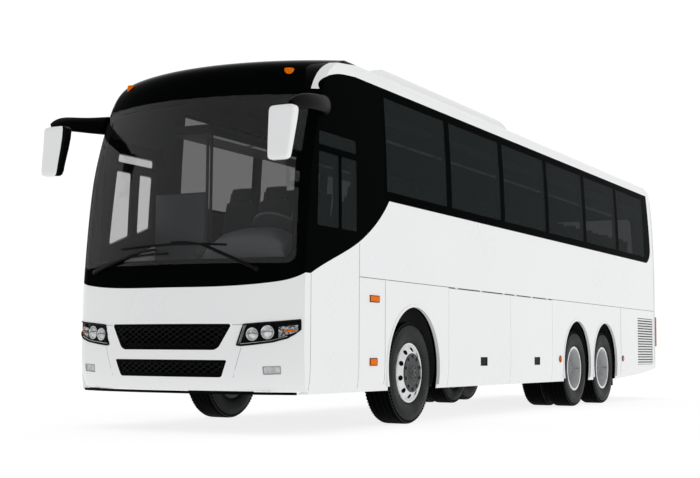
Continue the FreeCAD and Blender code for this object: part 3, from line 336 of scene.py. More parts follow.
# White two-pack polyurethane enamel, sprayed over steel and moulded panels: clean and evenly glossy
WHITE_ENAMEL = Finish("white_polyurethane_enamel", "#f1f2f2", "#edeeef", Relief.SPRAYED, 0.25, 0.04, 4.0,
                      0.02, 900.0, specular=0.25)
# Black polyurethane enamel of the window band and the cap: deep, mirror-like and a little blue-grey
BLACK_ENAMEL = Finish("black_polyurethane_enamel", "#040505", "#050606", Relief.SPRAYED, 0.12, 0.03, 4.0,
                      0.02, 700.0, specular=0.001)
# The same two enamels on the entrance door, masked along the sweep of the black band
DOOR_ENAMEL = replace(WHITE_ENAMEL, name="masked_door_enamel", roughness=0.22, specular=0.12)
# The white enamel of the skirts, whose returned edges get near-black painted shade
SKIRT_ENAMEL = replace(WHITE_ENAMEL, name="masked_skirt_enamel")
# The white enamel of the roof, sprayed black over the brow between the horns
ROOF_ENAMEL = replace(WHITE_ENAMEL, name="masked_roof_enamel")
# Privacy-tinted toughened float glass: almost black outside, the cabin shows through it dimly
TINTED_GLASS = Finish("tinted_float_glass", "#262a2b", "#282c2d", Relief.SMOOTH, 0.02, 0.01, alpha=0.62,
                      specular=0.002)
# The same glass in the entrance door, in a lighter tint
DOOR_GLASS = Finish("light_tinted_glass", "#0a0b0b", "#0c0d0d", Relief.SMOOTH, 0.02, 0.01, alpha=0.3,
                    specular=0.2)
# Laminated windscreen glass with a light grey tint and a strong sheen of the room
SCREEN_GLASS = Finish("laminated_screen_glass", "#0d0f10", "#101213", Relief.SMOOTH, 0.015, 0.01, alpha=0.1,
                      specular=0.9, ior=2.0)
# Hard-coated clear polycarbonate of the lamp covers
CLEAR_POLYCARBONATE = Finish("clear_polycarbonate", "#2a2d2f", "#2e3133", Relief.SMOOTH, 0.02, 0.01,
                             alpha=0.08, specular=0.2)
# Vacuum-metallised reflector bowls: bright and dark patches painted into the colour as reflections of the room,
# and a faint glow as painted light
REFLECTOR = Finish("metallised_reflector", "#fbfbfc", "#6d7174", Relief.TURNED, 0.1, 0.04, 3.0, 0.02, 40.0,
                   metallic=0.6, glow=0.12, contrast=3.0)
# The same coating on small facets, with painted reflections: strong light and dark patches in the colour stand
# for other parts of the room
FACETS = Finish("metallised_facets", "#dfe2e4", "#0e0f10", Relief.TURNED, 0.1, 0.04, 3.0, 0.02, 22.0,
                metallic=1.0, contrast=6.0)
# Pressed glass projector lens, ground and polished, with painted reflections in bright and dark patches of its
# colour and a faint glow as painted light
PROJECTOR_GLASS = Finish("pressed_projector_glass", "#f4f6f7", "#8c9194", Relief.SMOOTH, 0.03, 0.01,
                         blotch_mm=45.0, glow=0.1, contrast=3.0)
# Ribbed clear lens of the fog lamps, drawn with coarser ribs than the real ones
FOG_LENS = Finish("ribbed_clear_lens", "#d3d6d7", "#b9bdbf", Relief.MOULDED, 0.15, 0.03, 8.0, 0.4, 30.0,
                  alpha=0.55)
# Black moulded ABS of the grilles and lamp bezels, satin
BLACK_ABS = Finish("moulded_black_abs", "#060607", "#0b0b0c", Relief.MOULDED, 0.35, 0.06, 1.2, 0.05, 120.0,
                   specular=0.03)
# Black sheet behind and round the grilles, matt
GRILLE_BLACK = Finish("matt_black_sheet", "#030303", "#050505", Relief.ROLLED, 0.6, 0.05, 3.0, 0.05, 120.0,
                      specular=0.03)
# Black powder-coated expanded mesh, catching a little light
MESH_METAL = Finish("coated_expanded_mesh", "#121213", "#19191a", Relief.MOULDED, 0.4, 0.05, 1.5, 0.03, 60.0,
                    specular=0.2)
# Black EPDM rubber of seals and wiper blades, dull
EPDM_RUBBER = Finish("extruded_epdm_rubber", "#080808", "#0e0e0e", Relief.CURED, 0.6, 0.08, 2.0, 0.05, 80.0,
                     specular=0.1)
# Steel wiper arms in black powder coat, with a soft gleam
ARM_STEEL = Finish("powder_coated_steel", "#070708", "#0b0b0c", Relief.MOULDED, 0.38, 0.05, 1.5, 0.03, 60.0,
                   specular=0.08)
# Grey sealant drawn into the joints between painted panels, half matt
JOINT_SEALANT = Finish("smoothed_joint_sealant", "#6b6e71", "#7a7d80", Relief.CURED, 0.55, 0.06, 2.0, 0.05,
                       200.0)
# Natural and synthetic tyre rubber, moulded: deep black on the crown, darker than the walls as painted shade
TYRE_RUBBER = Finish("moulded_tyre_rubber", "#020202", "#040404", Relief.CURED, 0.6, 0.08, 5.0, 0.25, 150.0,
                     specular=0.01)
# The same rubber on the walls in dark grey, lighter than the crown as painted light
WALL_RUBBER = Finish("bloomed_tyre_wall", "#151718", "#1c1e1f", Relief.CURED, 0.55, 0.08, 5.0, 0.15, 150.0,
                     specular=0.15)
# Forged and polished aluminium wheel, bright with turning marks
WHEEL_METAL = Finish("polished_forged_aluminium", "#eceded", "#cdcfd1", Relief.TURNED, 0.36, 0.06, 6.0, 0.03,
                     90.0, metallic=0.45, contrast=1.6)
# Wheel hub casting in dark grey paint, with the sand's skin in it
HUB_PAINT = Finish("painted_cast_hub", "#2b2d2e", "#343637", Relief.CAST, 0.42, 0.08, 5.0, 0.08, 60.0,
                   specular=0.3)
# Zinc-flaked paint of the rear hubs, light and half matt
HUB_ZINC = Finish("zinc_flake_hub", "#85888a", "#74777a", Relief.CAST, 0.45, 0.08, 5.0, 0.08, 60.0,
                  metallic=0.5)
# Chromed steel of valves and the exhaust pipe, a clear mirror
CHROME = Finish("chromed_steel", "#d5d8da", "#c6cacd", Relief.TURNED, 0.12, 0.03, 3.0, 0.01, 40.0,
                metallic=1.0)
# Black chassis paint on rolled steel sections, dull and uneven
CHASSIS_PAINT = Finish("chassis_paint_on_steel", "#151617", "#1f2021", Relief.ROLLED, 0.5, 0.1, 8.0, 0.2,
                       250.0)
# Cast iron of axles and engine, painted dark grey over a rough skin
CAST_IRON = Finish("painted_cast_iron", "#1c1d1e", "#292a2b", Relief.CAST, 0.55, 0.1, 6.0, 0.3, 120.0)
# Polyethylene wheel housings, moulded and matt
HOUSING_PLASTIC = Finish("moulded_polyethylene", "#0b0b0b", "#131313", Relief.MOULDED, 0.7, 0.08, 4.0, 0.2,
                         200.0)
# Resin-coated birch ply of the floors, grey and matt
FLOOR_PLY = Finish("coated_birch_ply", "#26282a", "#303234", Relief.ROLLED, 0.6, 0.08, 6.0, 0.1, 200.0)
# Soft-touch moulded dashboard and cabin lining, near-black leather grain
CABIN_ABS = Finish("grained_cabin_abs", "#1b1c1e", "#242628", Relief.CAST, 0.55, 0.06, 2.5, 0.12, 150.0)
# Needle-felt lining glued to the inside of walls and roof, without any gloss
LINING_FELT = Finish("needled_lining_felt", "#17181a", "#1e2022", Relief.WOVEN, 0.9, 0.05, 2.0, 0.15, 300.0)
# Woven wool moquette of the seats, dark grey with a soft sheen
MOQUETTE = Finish("woven_wool_moquette", "#2a2c30", "#383b40", Relief.WOVEN, 0.85, 0.05, 3.0, 0.4, 60.0,
                  sheen=0.4)
# Opal acrylic diffuser of the lamps under the racks, glowing faintly
OPAL_DIFFUSER = Finish("opal_acrylic_diffuser", "#9ea3a6", "#8f9598", Relief.MOULDED, 0.4, 0.05, 4.0, 0.1,
                       60.0, glow=0.2)
# Amber acrylic of the marker and turn lamps, moulded and strongly coloured
AMBER_ACRYLIC = Finish("moulded_amber_acrylic", "#ef7400", "#e66c00", Relief.MOULDED, 0.25, 0.04, 6.0, 0.3,
                       30.0, specular=0.03)
# Red acrylic of the tail lamps, moulded and glossy
RED_ACRYLIC = Finish("moulded_red_acrylic", "#a50d0d", "#8f0808", Relief.MOULDED, 0.15, 0.04, 6.0, 0.3, 30.0,
                     specular=0.2)
# Smoked amber acrylic of the turn lamps at the tail, browner than the front ones
SMOKED_AMBER = Finish("smoked_amber_acrylic", "#b5622c", "#a35322", Relief.MOULDED, 0.2, 0.04, 6.0, 0.3, 30.0,
                      specular=0.15)
# Padded grey vinyl of the binnacle hood and the partition by the stairs, softly grained
GREY_VINYL = Finish("grained_grey_vinyl", "#3c4044", "#45494d", Relief.CAST, 0.5, 0.06, 2.5, 0.1, 150.0)
# Float glass silvered on its back, a clear mirror
SILVERED_GLASS = Finish("silvered_mirror_glass", "#dfe3e6", "#d5dade", Relief.SMOOTH, 0.02, 0.01,
                        metallic=1.0)
# Reflective sheeting on pressed aluminium, left blank
PLATE_SHEETING = Finish("blank_plate_sheeting", "#e8e8e4", "#dedfda", Relief.MOULDED, 0.35, 0.04, 1.5, 0.03,
                        60.0)
# Opal acrylic floor, lit from below so that it stays white round the shadows
OPAL_FLOOR = Finish("backlit_opal_floor", "#868686", "#848484", Relief.SMOOTH, 0.9, 0.02, blotch_mm=4000.0,
                    specular=0.0)

FINISH_OF = {node: finish for finish, nodes in (
    (GRILLE_BLACK, "front_grilles"), (BLACK_ABS, "headlamps mirror_arms"), (EPDM_RUBBER, "wipers"),
    (AMBER_ACRYLIC, "lamps"), (BLACK_ENAMEL, "window_frames front_cap windscreen_surround"),
    (TINTED_GLASS, "window_glass"), (DOOR_GLASS, "entrance_door_glass"), (SCREEN_GLASS, "windscreen"),
    (TYRE_RUBBER, "tyre"), (WHEEL_METAL, "rim"), (CHASSIS_PAINT, "frame_rails cross_members"),
    (CAST_IRON, "axle_beams engine_block knuckle"), (HOUSING_PLASTIC, "wheel_housings"), (FLOOR_PLY, "floors"),
    (CABIN_ABS, "dashboard luggage_racks"), (MOQUETTE, "seats"), (DOOR_ENAMEL, "entrance_door"),
    (SKIRT_ENAMEL, "skirt_panels"), (ROOF_ENAMEL, "roof_shell")) for node in nodes.split()}
SHELLS = ("waist_panels", "window_frames", "roof_shell", "front_cap", "windscreen_surround", "rear_wall",
          "front_panel", "front_bumper")


def finish_of(node: str) -> Finish:
    """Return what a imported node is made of: the longest name that its own begins with, or white enamel."""
    fits = [name for name in FINISH_OF if node == name or node.startswith(name + "_")]
    return FINISH_OF[max(fits, key=len)] if fits else WHITE_ENAMEL


def paint_faces(mesh: bpy.types.Mesh, finish: Finish, picks: Picks) -> None:
    """Give some faces of a mesh another finish.

    Args:
        mesh: The mesh.
        finish: The other finish.
        picks: Tells from a face's middle and its normal whether it takes the finish.
    """
    mesh.materials.append(finish.material())
    for face in mesh.polygons:
        if picks(face.center, face.normal):
            face.material_index = len(mesh.materials) - 1


def repaint(node: str, finish: Finish, picks: Picks) -> None:
    """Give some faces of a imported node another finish."""
    paint_faces(frame["nodes"][node].data, finish, picks)


def looks_inwards(middle: Vector, normal: Vector) -> bool:
    """Tell whether a body panel's face is seen from the cabin.

    Args:
        middle: The face's middle.
        normal: Its normal.

    Returns:
        Whether it is to be lined.
    """
    if middle.y < ROW_Y + NOSE_DEPTH:
        return normal.y > NOSE_BACK_TILT
    return normal.x * middle.x + normal.z * (middle.z - CABIN_CENTRE_Z) < WALL_BACK_TILT


def between_louvres(middle: Vector, normal: Vector) -> bool:
    """Tell whether a skirt's face is the shaded ground between the pressed louvres."""
    return (LOUVRES_Y[0] < middle.y - ROW_Y < LOUVRES_Y[1] and middle.z > LOUVRE_LOW_Z
            and LOUVRE_X[0] < abs(middle.x) < LOUVRE_X[1] and normal.x * middle.x > LOUVRE_TILT)


def dress_nodes() -> None:
    """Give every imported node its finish, and another one on the faces that are lined, lensed or left black."""
    for node, thing in frame["nodes"].items():
        thing.data.materials.clear()
        thing.data.materials.append(finish_of(node).material())
    for node in SHELLS:
        repaint(node, LINING_FELT, looks_inwards)
    repaint("skirt_panels", CHASSIS_PAINT, lambda middle, normal: normal.x * middle.x < SKIRT_BACK_TILT)
    # painted shade: the ground between the louvres in black
    repaint("skirt_panels", BLACK_ABS, between_louvres)
    repaint("headlamps", CLEAR_POLYCARBONATE, lambda middle, normal: normal.y < LENS_TILT)
    repaint("headlamps", FOG_LENS, lambda middle, normal: normal.y < LENS_TILT and middle.z < FOG_TOP_Z)
    repaint("dashboard", GREY_VINYL, lambda middle, normal: middle.z > DASH_TOP_Z)
    repaint("lamps", SMOKED_AMBER, lambda middle, normal: middle.y > ROW_Y + TAIL_LAMP_Y)
    repaint("lamps", RED_ACRYLIC,
            lambda middle, normal: middle.y > ROW_Y + TAIL_LAMP_Y and normal.y > TAIL_LENS_TILT)


def mask_enamels() -> None:
    """Lay near-black painted shade over the skirts' returned edges, and spray black over the roof's brow and the
    entrance door above the band's sweep.
    """
    size = ("ABSOLUTE", 0.0)
    # painted shade: skirt faces inside the arch rim that turn away from the side, behind the nose, in near-black
    skirt_shade = SKIRT_ENAMEL.mask(("MULTIPLY", "MULTIPLY"), ("place", "X", (size, ("LESS_THAN", ARCH_RIM_X))),
                              ("normal", "X", (size, ("LESS_THAN", 0.5))),
                              ("place", "Y", (("GREATER_THAN", ROW_Y + NOSE_DEPTH),)))
    brow = ROOF_ENAMEL.mask(("MULTIPLY",), ("place", "X", (size, ("LESS_THAN", HORN_EDGE_X))),
                            ("place", "Y", (("LESS_THAN", ROW_Y + HORN_END_Y),)))
    SKIRT_ENAMEL.overlay(skirt_shade, "#040404", {"Specular IOR Level": 0.02})
    ROOF_ENAMEL.overlay(brow, "#040404", {"Specular IOR Level": 0.02})
    (first_y, low), *bends, (last_y, high) = SWEEP
    tree = DOOR_ENAMEL.material().node_tree
    place = add_node(tree, "ShaderNodeTexCoord", "Object", {})
    y, z = (add_node(tree, "ShaderNodeSeparateXYZ", axis, {"Vector": place}) for axis in "YZ")
    station = add_node(tree, "ShaderNodeMapRange", "Result", {
        "Value": y, "From Min": ROW_Y + first_y, "From Max": ROW_Y + last_y})
    curve = add_node(tree, "ShaderNodeFloatCurve", 0, {"Value": station})
    points = curve.node.mapping.curves[0].points
    for bend_y, bend_z in bends:
        points.new((bend_y - first_y) / (last_y - first_y), (bend_z - low) / (high - low))
    curve.node.mapping.update()
    edge = add_node(tree, "ShaderNodeMapRange", "Result", {"Value": curve, "To Min": low, "To Max": high})
    above = add_node(tree, "ShaderNodeMath", 0, {0: z, 1: edge}, operation="GREATER_THAN")
    DOOR_ENAMEL.overlay(above, BLACK_ENAMEL.colour, {})


def print_border() -> None:
    """Print the side glass's ceramic border: black along every pane's edges, so that no lining shows there."""
    first_y = ROW_Y + PANE_FIRST_Y
    border = TINTED_GLASS.mask(
        ("MAXIMUM", "MULTIPLY"),
        ("place", "Y", (("SUBTRACT", first_y), ("PINGPONG", PANE_PITCH / 2), ("LESS_THAN", PANE_BORDER))),
        ("place", "Z", (("SUBTRACT", PANE_MIDDLE_Z), ("ABSOLUTE", 0.0), ("GREATER_THAN", PANE_HALF_HEIGHT))),
        ("place", "Y", (("GREATER_THAN", first_y),)))
    TINTED_GLASS.overlay(border, "#030404", {"Alpha": 1.0, "Specular IOR Level": 0.001})


def set_out(name: str, data: bpy.types.ID) -> bpy.types.Object:
    """Put a new object in the scene.

    Args:
        name: Its name.
        data: Its mesh or camera.

    Returns:
        The object.
    """
    thing = bpy.data.objects.new(name, data)
    bpy.context.scene.collection.objects.link(thing)
    return thing


def mounted(name: str, mesh: bpy.types.Mesh, finish: Finish, body: str) -> bpy.types.Object:
    """Put a mesh in the scene as a piece.

    Args:
        name: Name of the piece.
        mesh: Its mesh.
        finish: What it is made of.
        body: The body that carries it.

    Returns:
        The new object.
    """
    mesh.materials.clear()
    mesh.materials.append(finish.material())
    thing = set_out(name, mesh)
    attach(thing, body)
    return thing


class Shape:
    """Mesh under construction, from tubes, turned rings, blocks and lofts; each call gives the shape back."""

    def __init__(self) -> None:
        """Start empty."""
        self.points: list[tuple[float, ...]] = []
        self.faces: list[tuple[int, ...]] = []

    def add(self, points: Iterable[Vector], faces: Iterable[tuple[int, ...]]) -> Self:
        """Add points and faces.

        Args:
            points: The points.
            faces: The faces, which count from the first of these points.

        Returns:
            The shape.
        """
        start = len(self.points)
        self.points += [tuple(p) for p in points]
        self.faces += [tuple(i + start for i in face) for face in faces]
        return self

    def loft(self, rings: list[list[Vector]], closed: bool = True, caps: bool = True) -> Self:
        """Skin a row of rings of equally many points.

        Args:
            rings: The rings, each one a list of points.
            closed: Whether each ring's last point joins its first.
            caps: Whether the first and last rings are filled.

        Returns:
            The shape.
        """
        size = len(rings[0])
        faces = []
        for row in range(len(rings) - 1):
            for i in range(size if closed else size - 1):
                j = (i + 1) % size
                faces.append((row * size + i, row * size + j, (row + 1) * size + j, (row + 1) * size + i))
        if caps:
            last = (len(rings) - 1) * size
            faces.append(tuple(range(size))[::-1])
            faces.append(tuple(range(last, last + size)))
        return self.add([p for ring in rings for p in ring], faces)

    def grid(self, rows: int, columns: int, place: Callable[[int, int], Vector]) -> Self:
        """Skin a grid of points, each of which is placed by its row and column."""
        return self.loft([[place(i, k) for k in range(columns)] for i in range(rows)], False, False)

    def tube(self, path: list[Vector], radius: float, sides: int = 8) -> Self:
        """Run a tube along a path.

        Args:
            path: Its centre line.
            radius: Its outer radius.
            sides: How many sides it has.

        Returns:
            The shape.
        """
        rings = []
        for i, point in enumerate(path):
            heading = (path[min(i + 1, len(path) - 1)] - path[max(i - 1, 0)]).normalized()
            guide = UP if abs(heading.z) < 0.9 else Vector((0, 1, 0))
            across = heading.cross(guide).normalized()
            up = across.cross(heading)
            rings.append([point + (across * math.cos(a) + up * math.sin(a)) * radius for a in around(sides)])
        return self.loft(rings)

    def turned(self, profile: Iterable[Pair], steps: int, place: Matrix, closed: bool = False) -> Self:
        """Turn an outline about the Z axis of a place.

        Args:
            profile: Height along the axis and radius, in metres.
            steps: How many sides the turned form has.
            place: Where it stands and which way its axis points.
            closed: Whether the outline's last point joins its first.

        Returns:
            The shape.
        """
        rows = [*profile, *profile[:1]] if closed else profile
        return self.loft([[place @ Vector((r * math.cos(a), r * math.sin(a), h)) for a in around(steps)]
                          for h, r in rows], caps=False)

    def block(self, low: Iterable[float], high: Iterable[float], bevel: float, segments: int = 1) -> Self:
        """Add a block with rounded edges.

        Args:
            low: One corner.
            high: The corner opposite to it.
            bevel: Radius of the edges.
            segments: Steps of their rounding.

        Returns:
            The shape.
        """
        mesh = bmesh.new()
        low, high = Vector(low), Vector(high)
        sizes = [abs(length) for length in high - low]
        bmesh.ops.create_cube(mesh, size=1.0,
                              matrix=Matrix.Translation((low + high) / 2) @ Matrix.Diagonal((*sizes, 1.0)))
        bmesh.ops.bevel(mesh, geom=list(mesh.edges), offset=bevel, segments=segments, affect="EDGES",
                        profile=0.5)
        mesh.verts.index_update()
        self.add([v.co for v in mesh.verts], [tuple(v.index for v in f.verts) for f in mesh.faces])
        mesh.free()
        return self

    def mesh(self, name: str, sharp_deg: float = 35.0) -> bpy.types.Mesh:
        """Finish the mesh, smooth but for its sharp edges.

        Args:
            name: Name of the mesh.
            sharp_deg: Angle from which an edge stays sharp.

        Returns:
            The mesh.
        """
        mesh = bpy.data.meshes.new(name)
        mesh.from_pydata(self.points, [], self.faces)
        mesh.validate()
        build = bmesh.new()
        build.from_mesh(mesh)
        bmesh.ops.recalc_face_normals(build, faces=list(build.faces))
        for edge in build.edges:
            edge.smooth = len(edge.link_faces) == 2 and edge.calc_face_angle(0.0) < math.radians(sharp_deg)
        for face in build.faces:
            face.smooth = True
        build.to_mesh(mesh)
        build.free()
        return mesh

    def piece(self, name: str, finish: Finish, body: str = BODY, sharp_deg: float = 35.0) -> bpy.types.Object:
        """Make the finished piece; see mounted and mesh."""
        return mounted(name, self.mesh(name, sharp_deg), finish, body)


class Skin:
    """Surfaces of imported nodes, for seating trim on them."""

    AHEAD_Y = -4.0               # where the rays from the front and from a side start
    ASIDE_X = 3.0
    NUDGE = (0.004, 0.003)       # step beside a ray's start, inwards and upwards
    TRIES = 8

    def __init__(self, *nodes: str) -> None:
        """Gather the faces.

        Args:
            nodes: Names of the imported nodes.
        """
        shape = Shape()
        for thing in (frame["nodes"][node] for node in nodes):
            shape.add([thing.matrix_world @ v.co for v in thing.data.vertices],
                      [tuple(face.vertices) for face in thing.data.polygons])
        self.tree = BVHTree.FromPolygons(shape.points, shape.faces)

    def front(self, x: float, z: float, lift: float = 0.0) -> Vector:
        """Return the point of the front at a width and height, lifted off the surface."""
        return self.cast(at(x, self.AHEAD_Y, z), Vector((0, 1, 0)), lift)

    def side(self, side: Side, y: float, z: float) -> Vector:
        """Return the point of a side at a station and height."""
        return self.cast(side.at(self.ASIDE_X, y, z), -side.out, 0.0)

    def cast(self, start: Vector, heading: Vector, lift: float) -> Vector:
        """Follow a ray to the surfaces, from a little beside its start where it slips through a joint.

        Args:
            start: Where the ray starts.
            heading: Its direction.
            lift: Distance off the surface of the point that is wanted.

        Returns:
            That point.
        """
        inwards, upwards = self.NUDGE
        for step in range(self.TRIES):
            nudge = Vector((-inwards * math.copysign(step, start.x), 0, upwards * step))
            point, normal, _, _ = self.tree.ray_cast(start + nudge, heading)
            if point:
                return point + normal * lift * (-1.0 if normal.dot(heading) > 0 else 1.0)
        raise ValueError(f"no surface from {start} along {heading}")

    def nearest(self, point: Vector) -> Vector:
        """Return the surfaces' nearest point."""
        return self.tree.find_nearest(point)[0]

    def outward(self, x: float, z: float) -> Vector:
        """Return the outward normal of the front at a width and height."""
        normal = self.tree.ray_cast(at(x, self.AHEAD_Y, z), Vector((0, 1, 0)))[1]
        return normal if normal.y < 0 else -normal


class Copies:
    """Geometry Nodes tree that sets a copy of one object on each point of a mesh."""

    def __init__(self) -> None:
        """Build the tree once: place the copies, turn them from a centre, realise them, set their material."""
        self.tree = bpy.data.node_groups.new("copies_on_points", "GeometryNodeTree")
        face = self.tree.interface
        self.inputs = {name: face.new_socket(name, in_out="INPUT", socket_type="NodeSocket" + kind).identifier
                       for name, kind in (("Points", "Geometry"), ("Item", "Object"), ("Centre", "Vector"),
                                          ("Turn", "Float"), ("Finish", "Material"))}
        face.new_socket("Geometry", in_out="OUTPUT", socket_type="NodeSocketGeometry")
        group = self.tree.nodes.new("NodeGroupInput").outputs
        where = add_node(self.tree, "GeometryNodeInputPosition", 0, {})
        away = add_node(self.tree, "ShaderNodeVectorMath", 0,
                        {0: where, 1: group["Centre"]}, operation="SUBTRACT")
        turned = add_node(self.tree, "FunctionNodeAlignRotationToVector", 0,
                          {"Factor": group["Turn"], "Vector": away}, axis="Z", pivot_axis="X")
        item = add_node(self.tree, "GeometryNodeObjectInfo", "Geometry", {"Object": group["Item"]})
        placed = add_node(self.tree, "GeometryNodeInstanceOnPoints", 0,
                          {"Points": group["Points"], "Instance": item, "Rotation": turned})
        real = add_node(self.tree, "GeometryNodeRealizeInstances", 0, {"Geometry": placed})
        coloured = add_node(self.tree, "GeometryNodeSetMaterial", 0,
                            {"Geometry": real, "Material": group["Finish"]})
        feed(self.tree.nodes.new("NodeGroupOutput"), {"Geometry": coloured})

    def spread(self, name: str, item: bpy.types.Mesh, points: list[Vector], finish: Finish, body: str = BODY,
               centre: Vector | None = None) -> bpy.types.Object:
        """Set copies of a mesh on points, and keep the result as a plain mesh.

        Args:
            name: Name of the piece.
            item: Mesh of one copy, built about the world's origin.
            points: Where the copies go.
            finish: What they are made of.
            body: The body that carries them.
            centre: Point that the copies' Z axes point away from, round X; None leaves them unturned.

        Returns:
            The new object.
        """
        places = bpy.data.meshes.new(name + "_points")
        places.from_pydata([tuple(p) for p in points], [], [])
        carrier, model = set_out(name + "_points", places), set_out(name + "_item", item)
        modifier = carrier.modifiers.new("copies", "NODES")
        modifier.node_group = self.tree
        for label, value in (("Item", model), ("Centre", tuple(centre or Vector())),
                             ("Turn", 1.0 if centre else 0.0), ("Finish", finish.material())):
            modifier[self.inputs[label]] = value
        bpy.context.view_layer.update()
        shown = carrier.evaluated_get(bpy.context.evaluated_depsgraph_get())
        mesh = bpy.data.meshes.new_from_object(shown)
        carrier.modifiers.remove(modifier)
        for thing in (carrier, model):
            bpy.data.objects.remove(thing)
        return mounted(name, mesh, finish, body)


@dataclass(frozen=True)
class Corner:
    """Place of one wheel: the side of the coach and the axle."""

    side: Side
    axle: str

    @property
    def name(self) -> str:
        """Return the wheel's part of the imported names."""
        return f"{self.axle}_{self.side.word}"

    @property
    def body(self) -> str:
        """Return the body that turns with the wheel."""
        return f"wheel_{self.name}"

    def centre(self, x: float) -> Vector:
        """Return the point of the axle's line at a distance from the middle plane."""
        return self.side.at(x, AXLES[self.axle], AXLE_Z)


@dataclass
class Tyre:
    """Road tyre: grooved crown, shoulder lugs and ribbed walls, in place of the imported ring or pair."""

    corner: Corner
    copies: Copies
    width: float = 0.295
    radius: float = 0.522
    steps: int = 96
    wall: Rows = (          # share of the half width, and radius
        (0.62, 0.2875), (0.78, 0.3), (0.8, 0.315), (0.9, 0.333), (0.93, 0.345), (0.97, 0.365), (1.0, 0.405),
        (1.005, 0.43), (0.985, 0.452), (0.975, 0.455), (0.965, 0.47), (0.935, 0.492), (0.9, 0.506),
        (0.86, 0.514), (0.78, 0.52))
    groove_places: tuple[float, ...] = (0.084, 0.03, -0.03, -0.084)
    groove_width: float = 0.011
    groove_depth: float = 0.013
    lug_count: int = 80
    lug_place: float = 0.44
    lug_radius: float = 0.503
    lug: Box = ((-0.0125, -0.0125, -0.022), (0.0105, 0.0125, 0.004))
    lug_bevel: float = 0.003
    wall_tilt: float = 0.55             # normal's X from which a face belongs to the wall

    def build(self) -> None:
        """Build the tyre, or the two tyres of a drive wheel, with the lugs round both shoulders."""
        name, body = self.corner.name, self.corner.body
        outer = TYRE_FACE_X - self.width / 2
        ring = Shape()
        lugs = []
        for x in (outer, outer - TWIN_PITCH) if self.corner.axle == "drive" else (outer,):
            centre = self.corner.centre(x)
            ring.turned(self.profile(), self.steps, facing(centre, self.corner.side.out), closed=True)
            lugs += [centre + Vector((sign * self.width * self.lug_place, 0, 0)) + spoke(a) * self.lug_radius
                     for a in around(self.lug_count) for sign in (1, -1)]
        tyre = ring.piece(f"road_tyre_{name}", TYRE_RUBBER, body, 28.0)
        # painted light and shade: the walls get a lighter rubber than the crown
        paint_faces(tyre.data, WALL_RUBBER, lambda middle, normal: abs(normal.x) > self.wall_tilt)
        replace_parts(tyre, f"tyre_{name}")
        lug = Shape().block(*self.lug, self.lug_bevel).mesh("shoulder_lug")
        self.copies.spread(f"shoulder_lugs_{name}", lug, lugs, TYRE_RUBBER, body, centre)

    def profile(self) -> list[Pair]:
        """Work out the closed cross-section.

        Returns:
            Place across the tyre and radius, for each point.
        """
        wall = [(self.width / 2 * share, radius) for share, radius in self.wall]
        half, low = self.groove_width / 2, self.radius - self.groove_depth
        crown = [(place + half * share, radius) for place in self.groove_places
                 for share, radius in ((1, self.radius), (0.6, low), (-0.6, low), (-1, self.radius))]
        return wall + crown + [(-place, radius) for place, radius in wall[::-1]]


@dataclass(frozen=True)
class Hub:
    """Sizes of one kind of wheel middle."""

    depth: float                 # of the disc's face behind the tyre's wall
    rise: float                  # of the nuts' ring over that face
    wide: float                  # radius of the ring
    reach: float                 # of the cap's shoulder over the face
    black_x: float               # the rim is painted black as shade nearer to the middle plane than this
    paint: Finish


FRONT_HUB = Hub(0.0655, 0.09, 0.202, 0.081, 1.06, HUB_PAINT)
REAR_HUB = Hub(0.197, 0.012, 0.15, 0.1125, 1.0, HUB_ZINC)


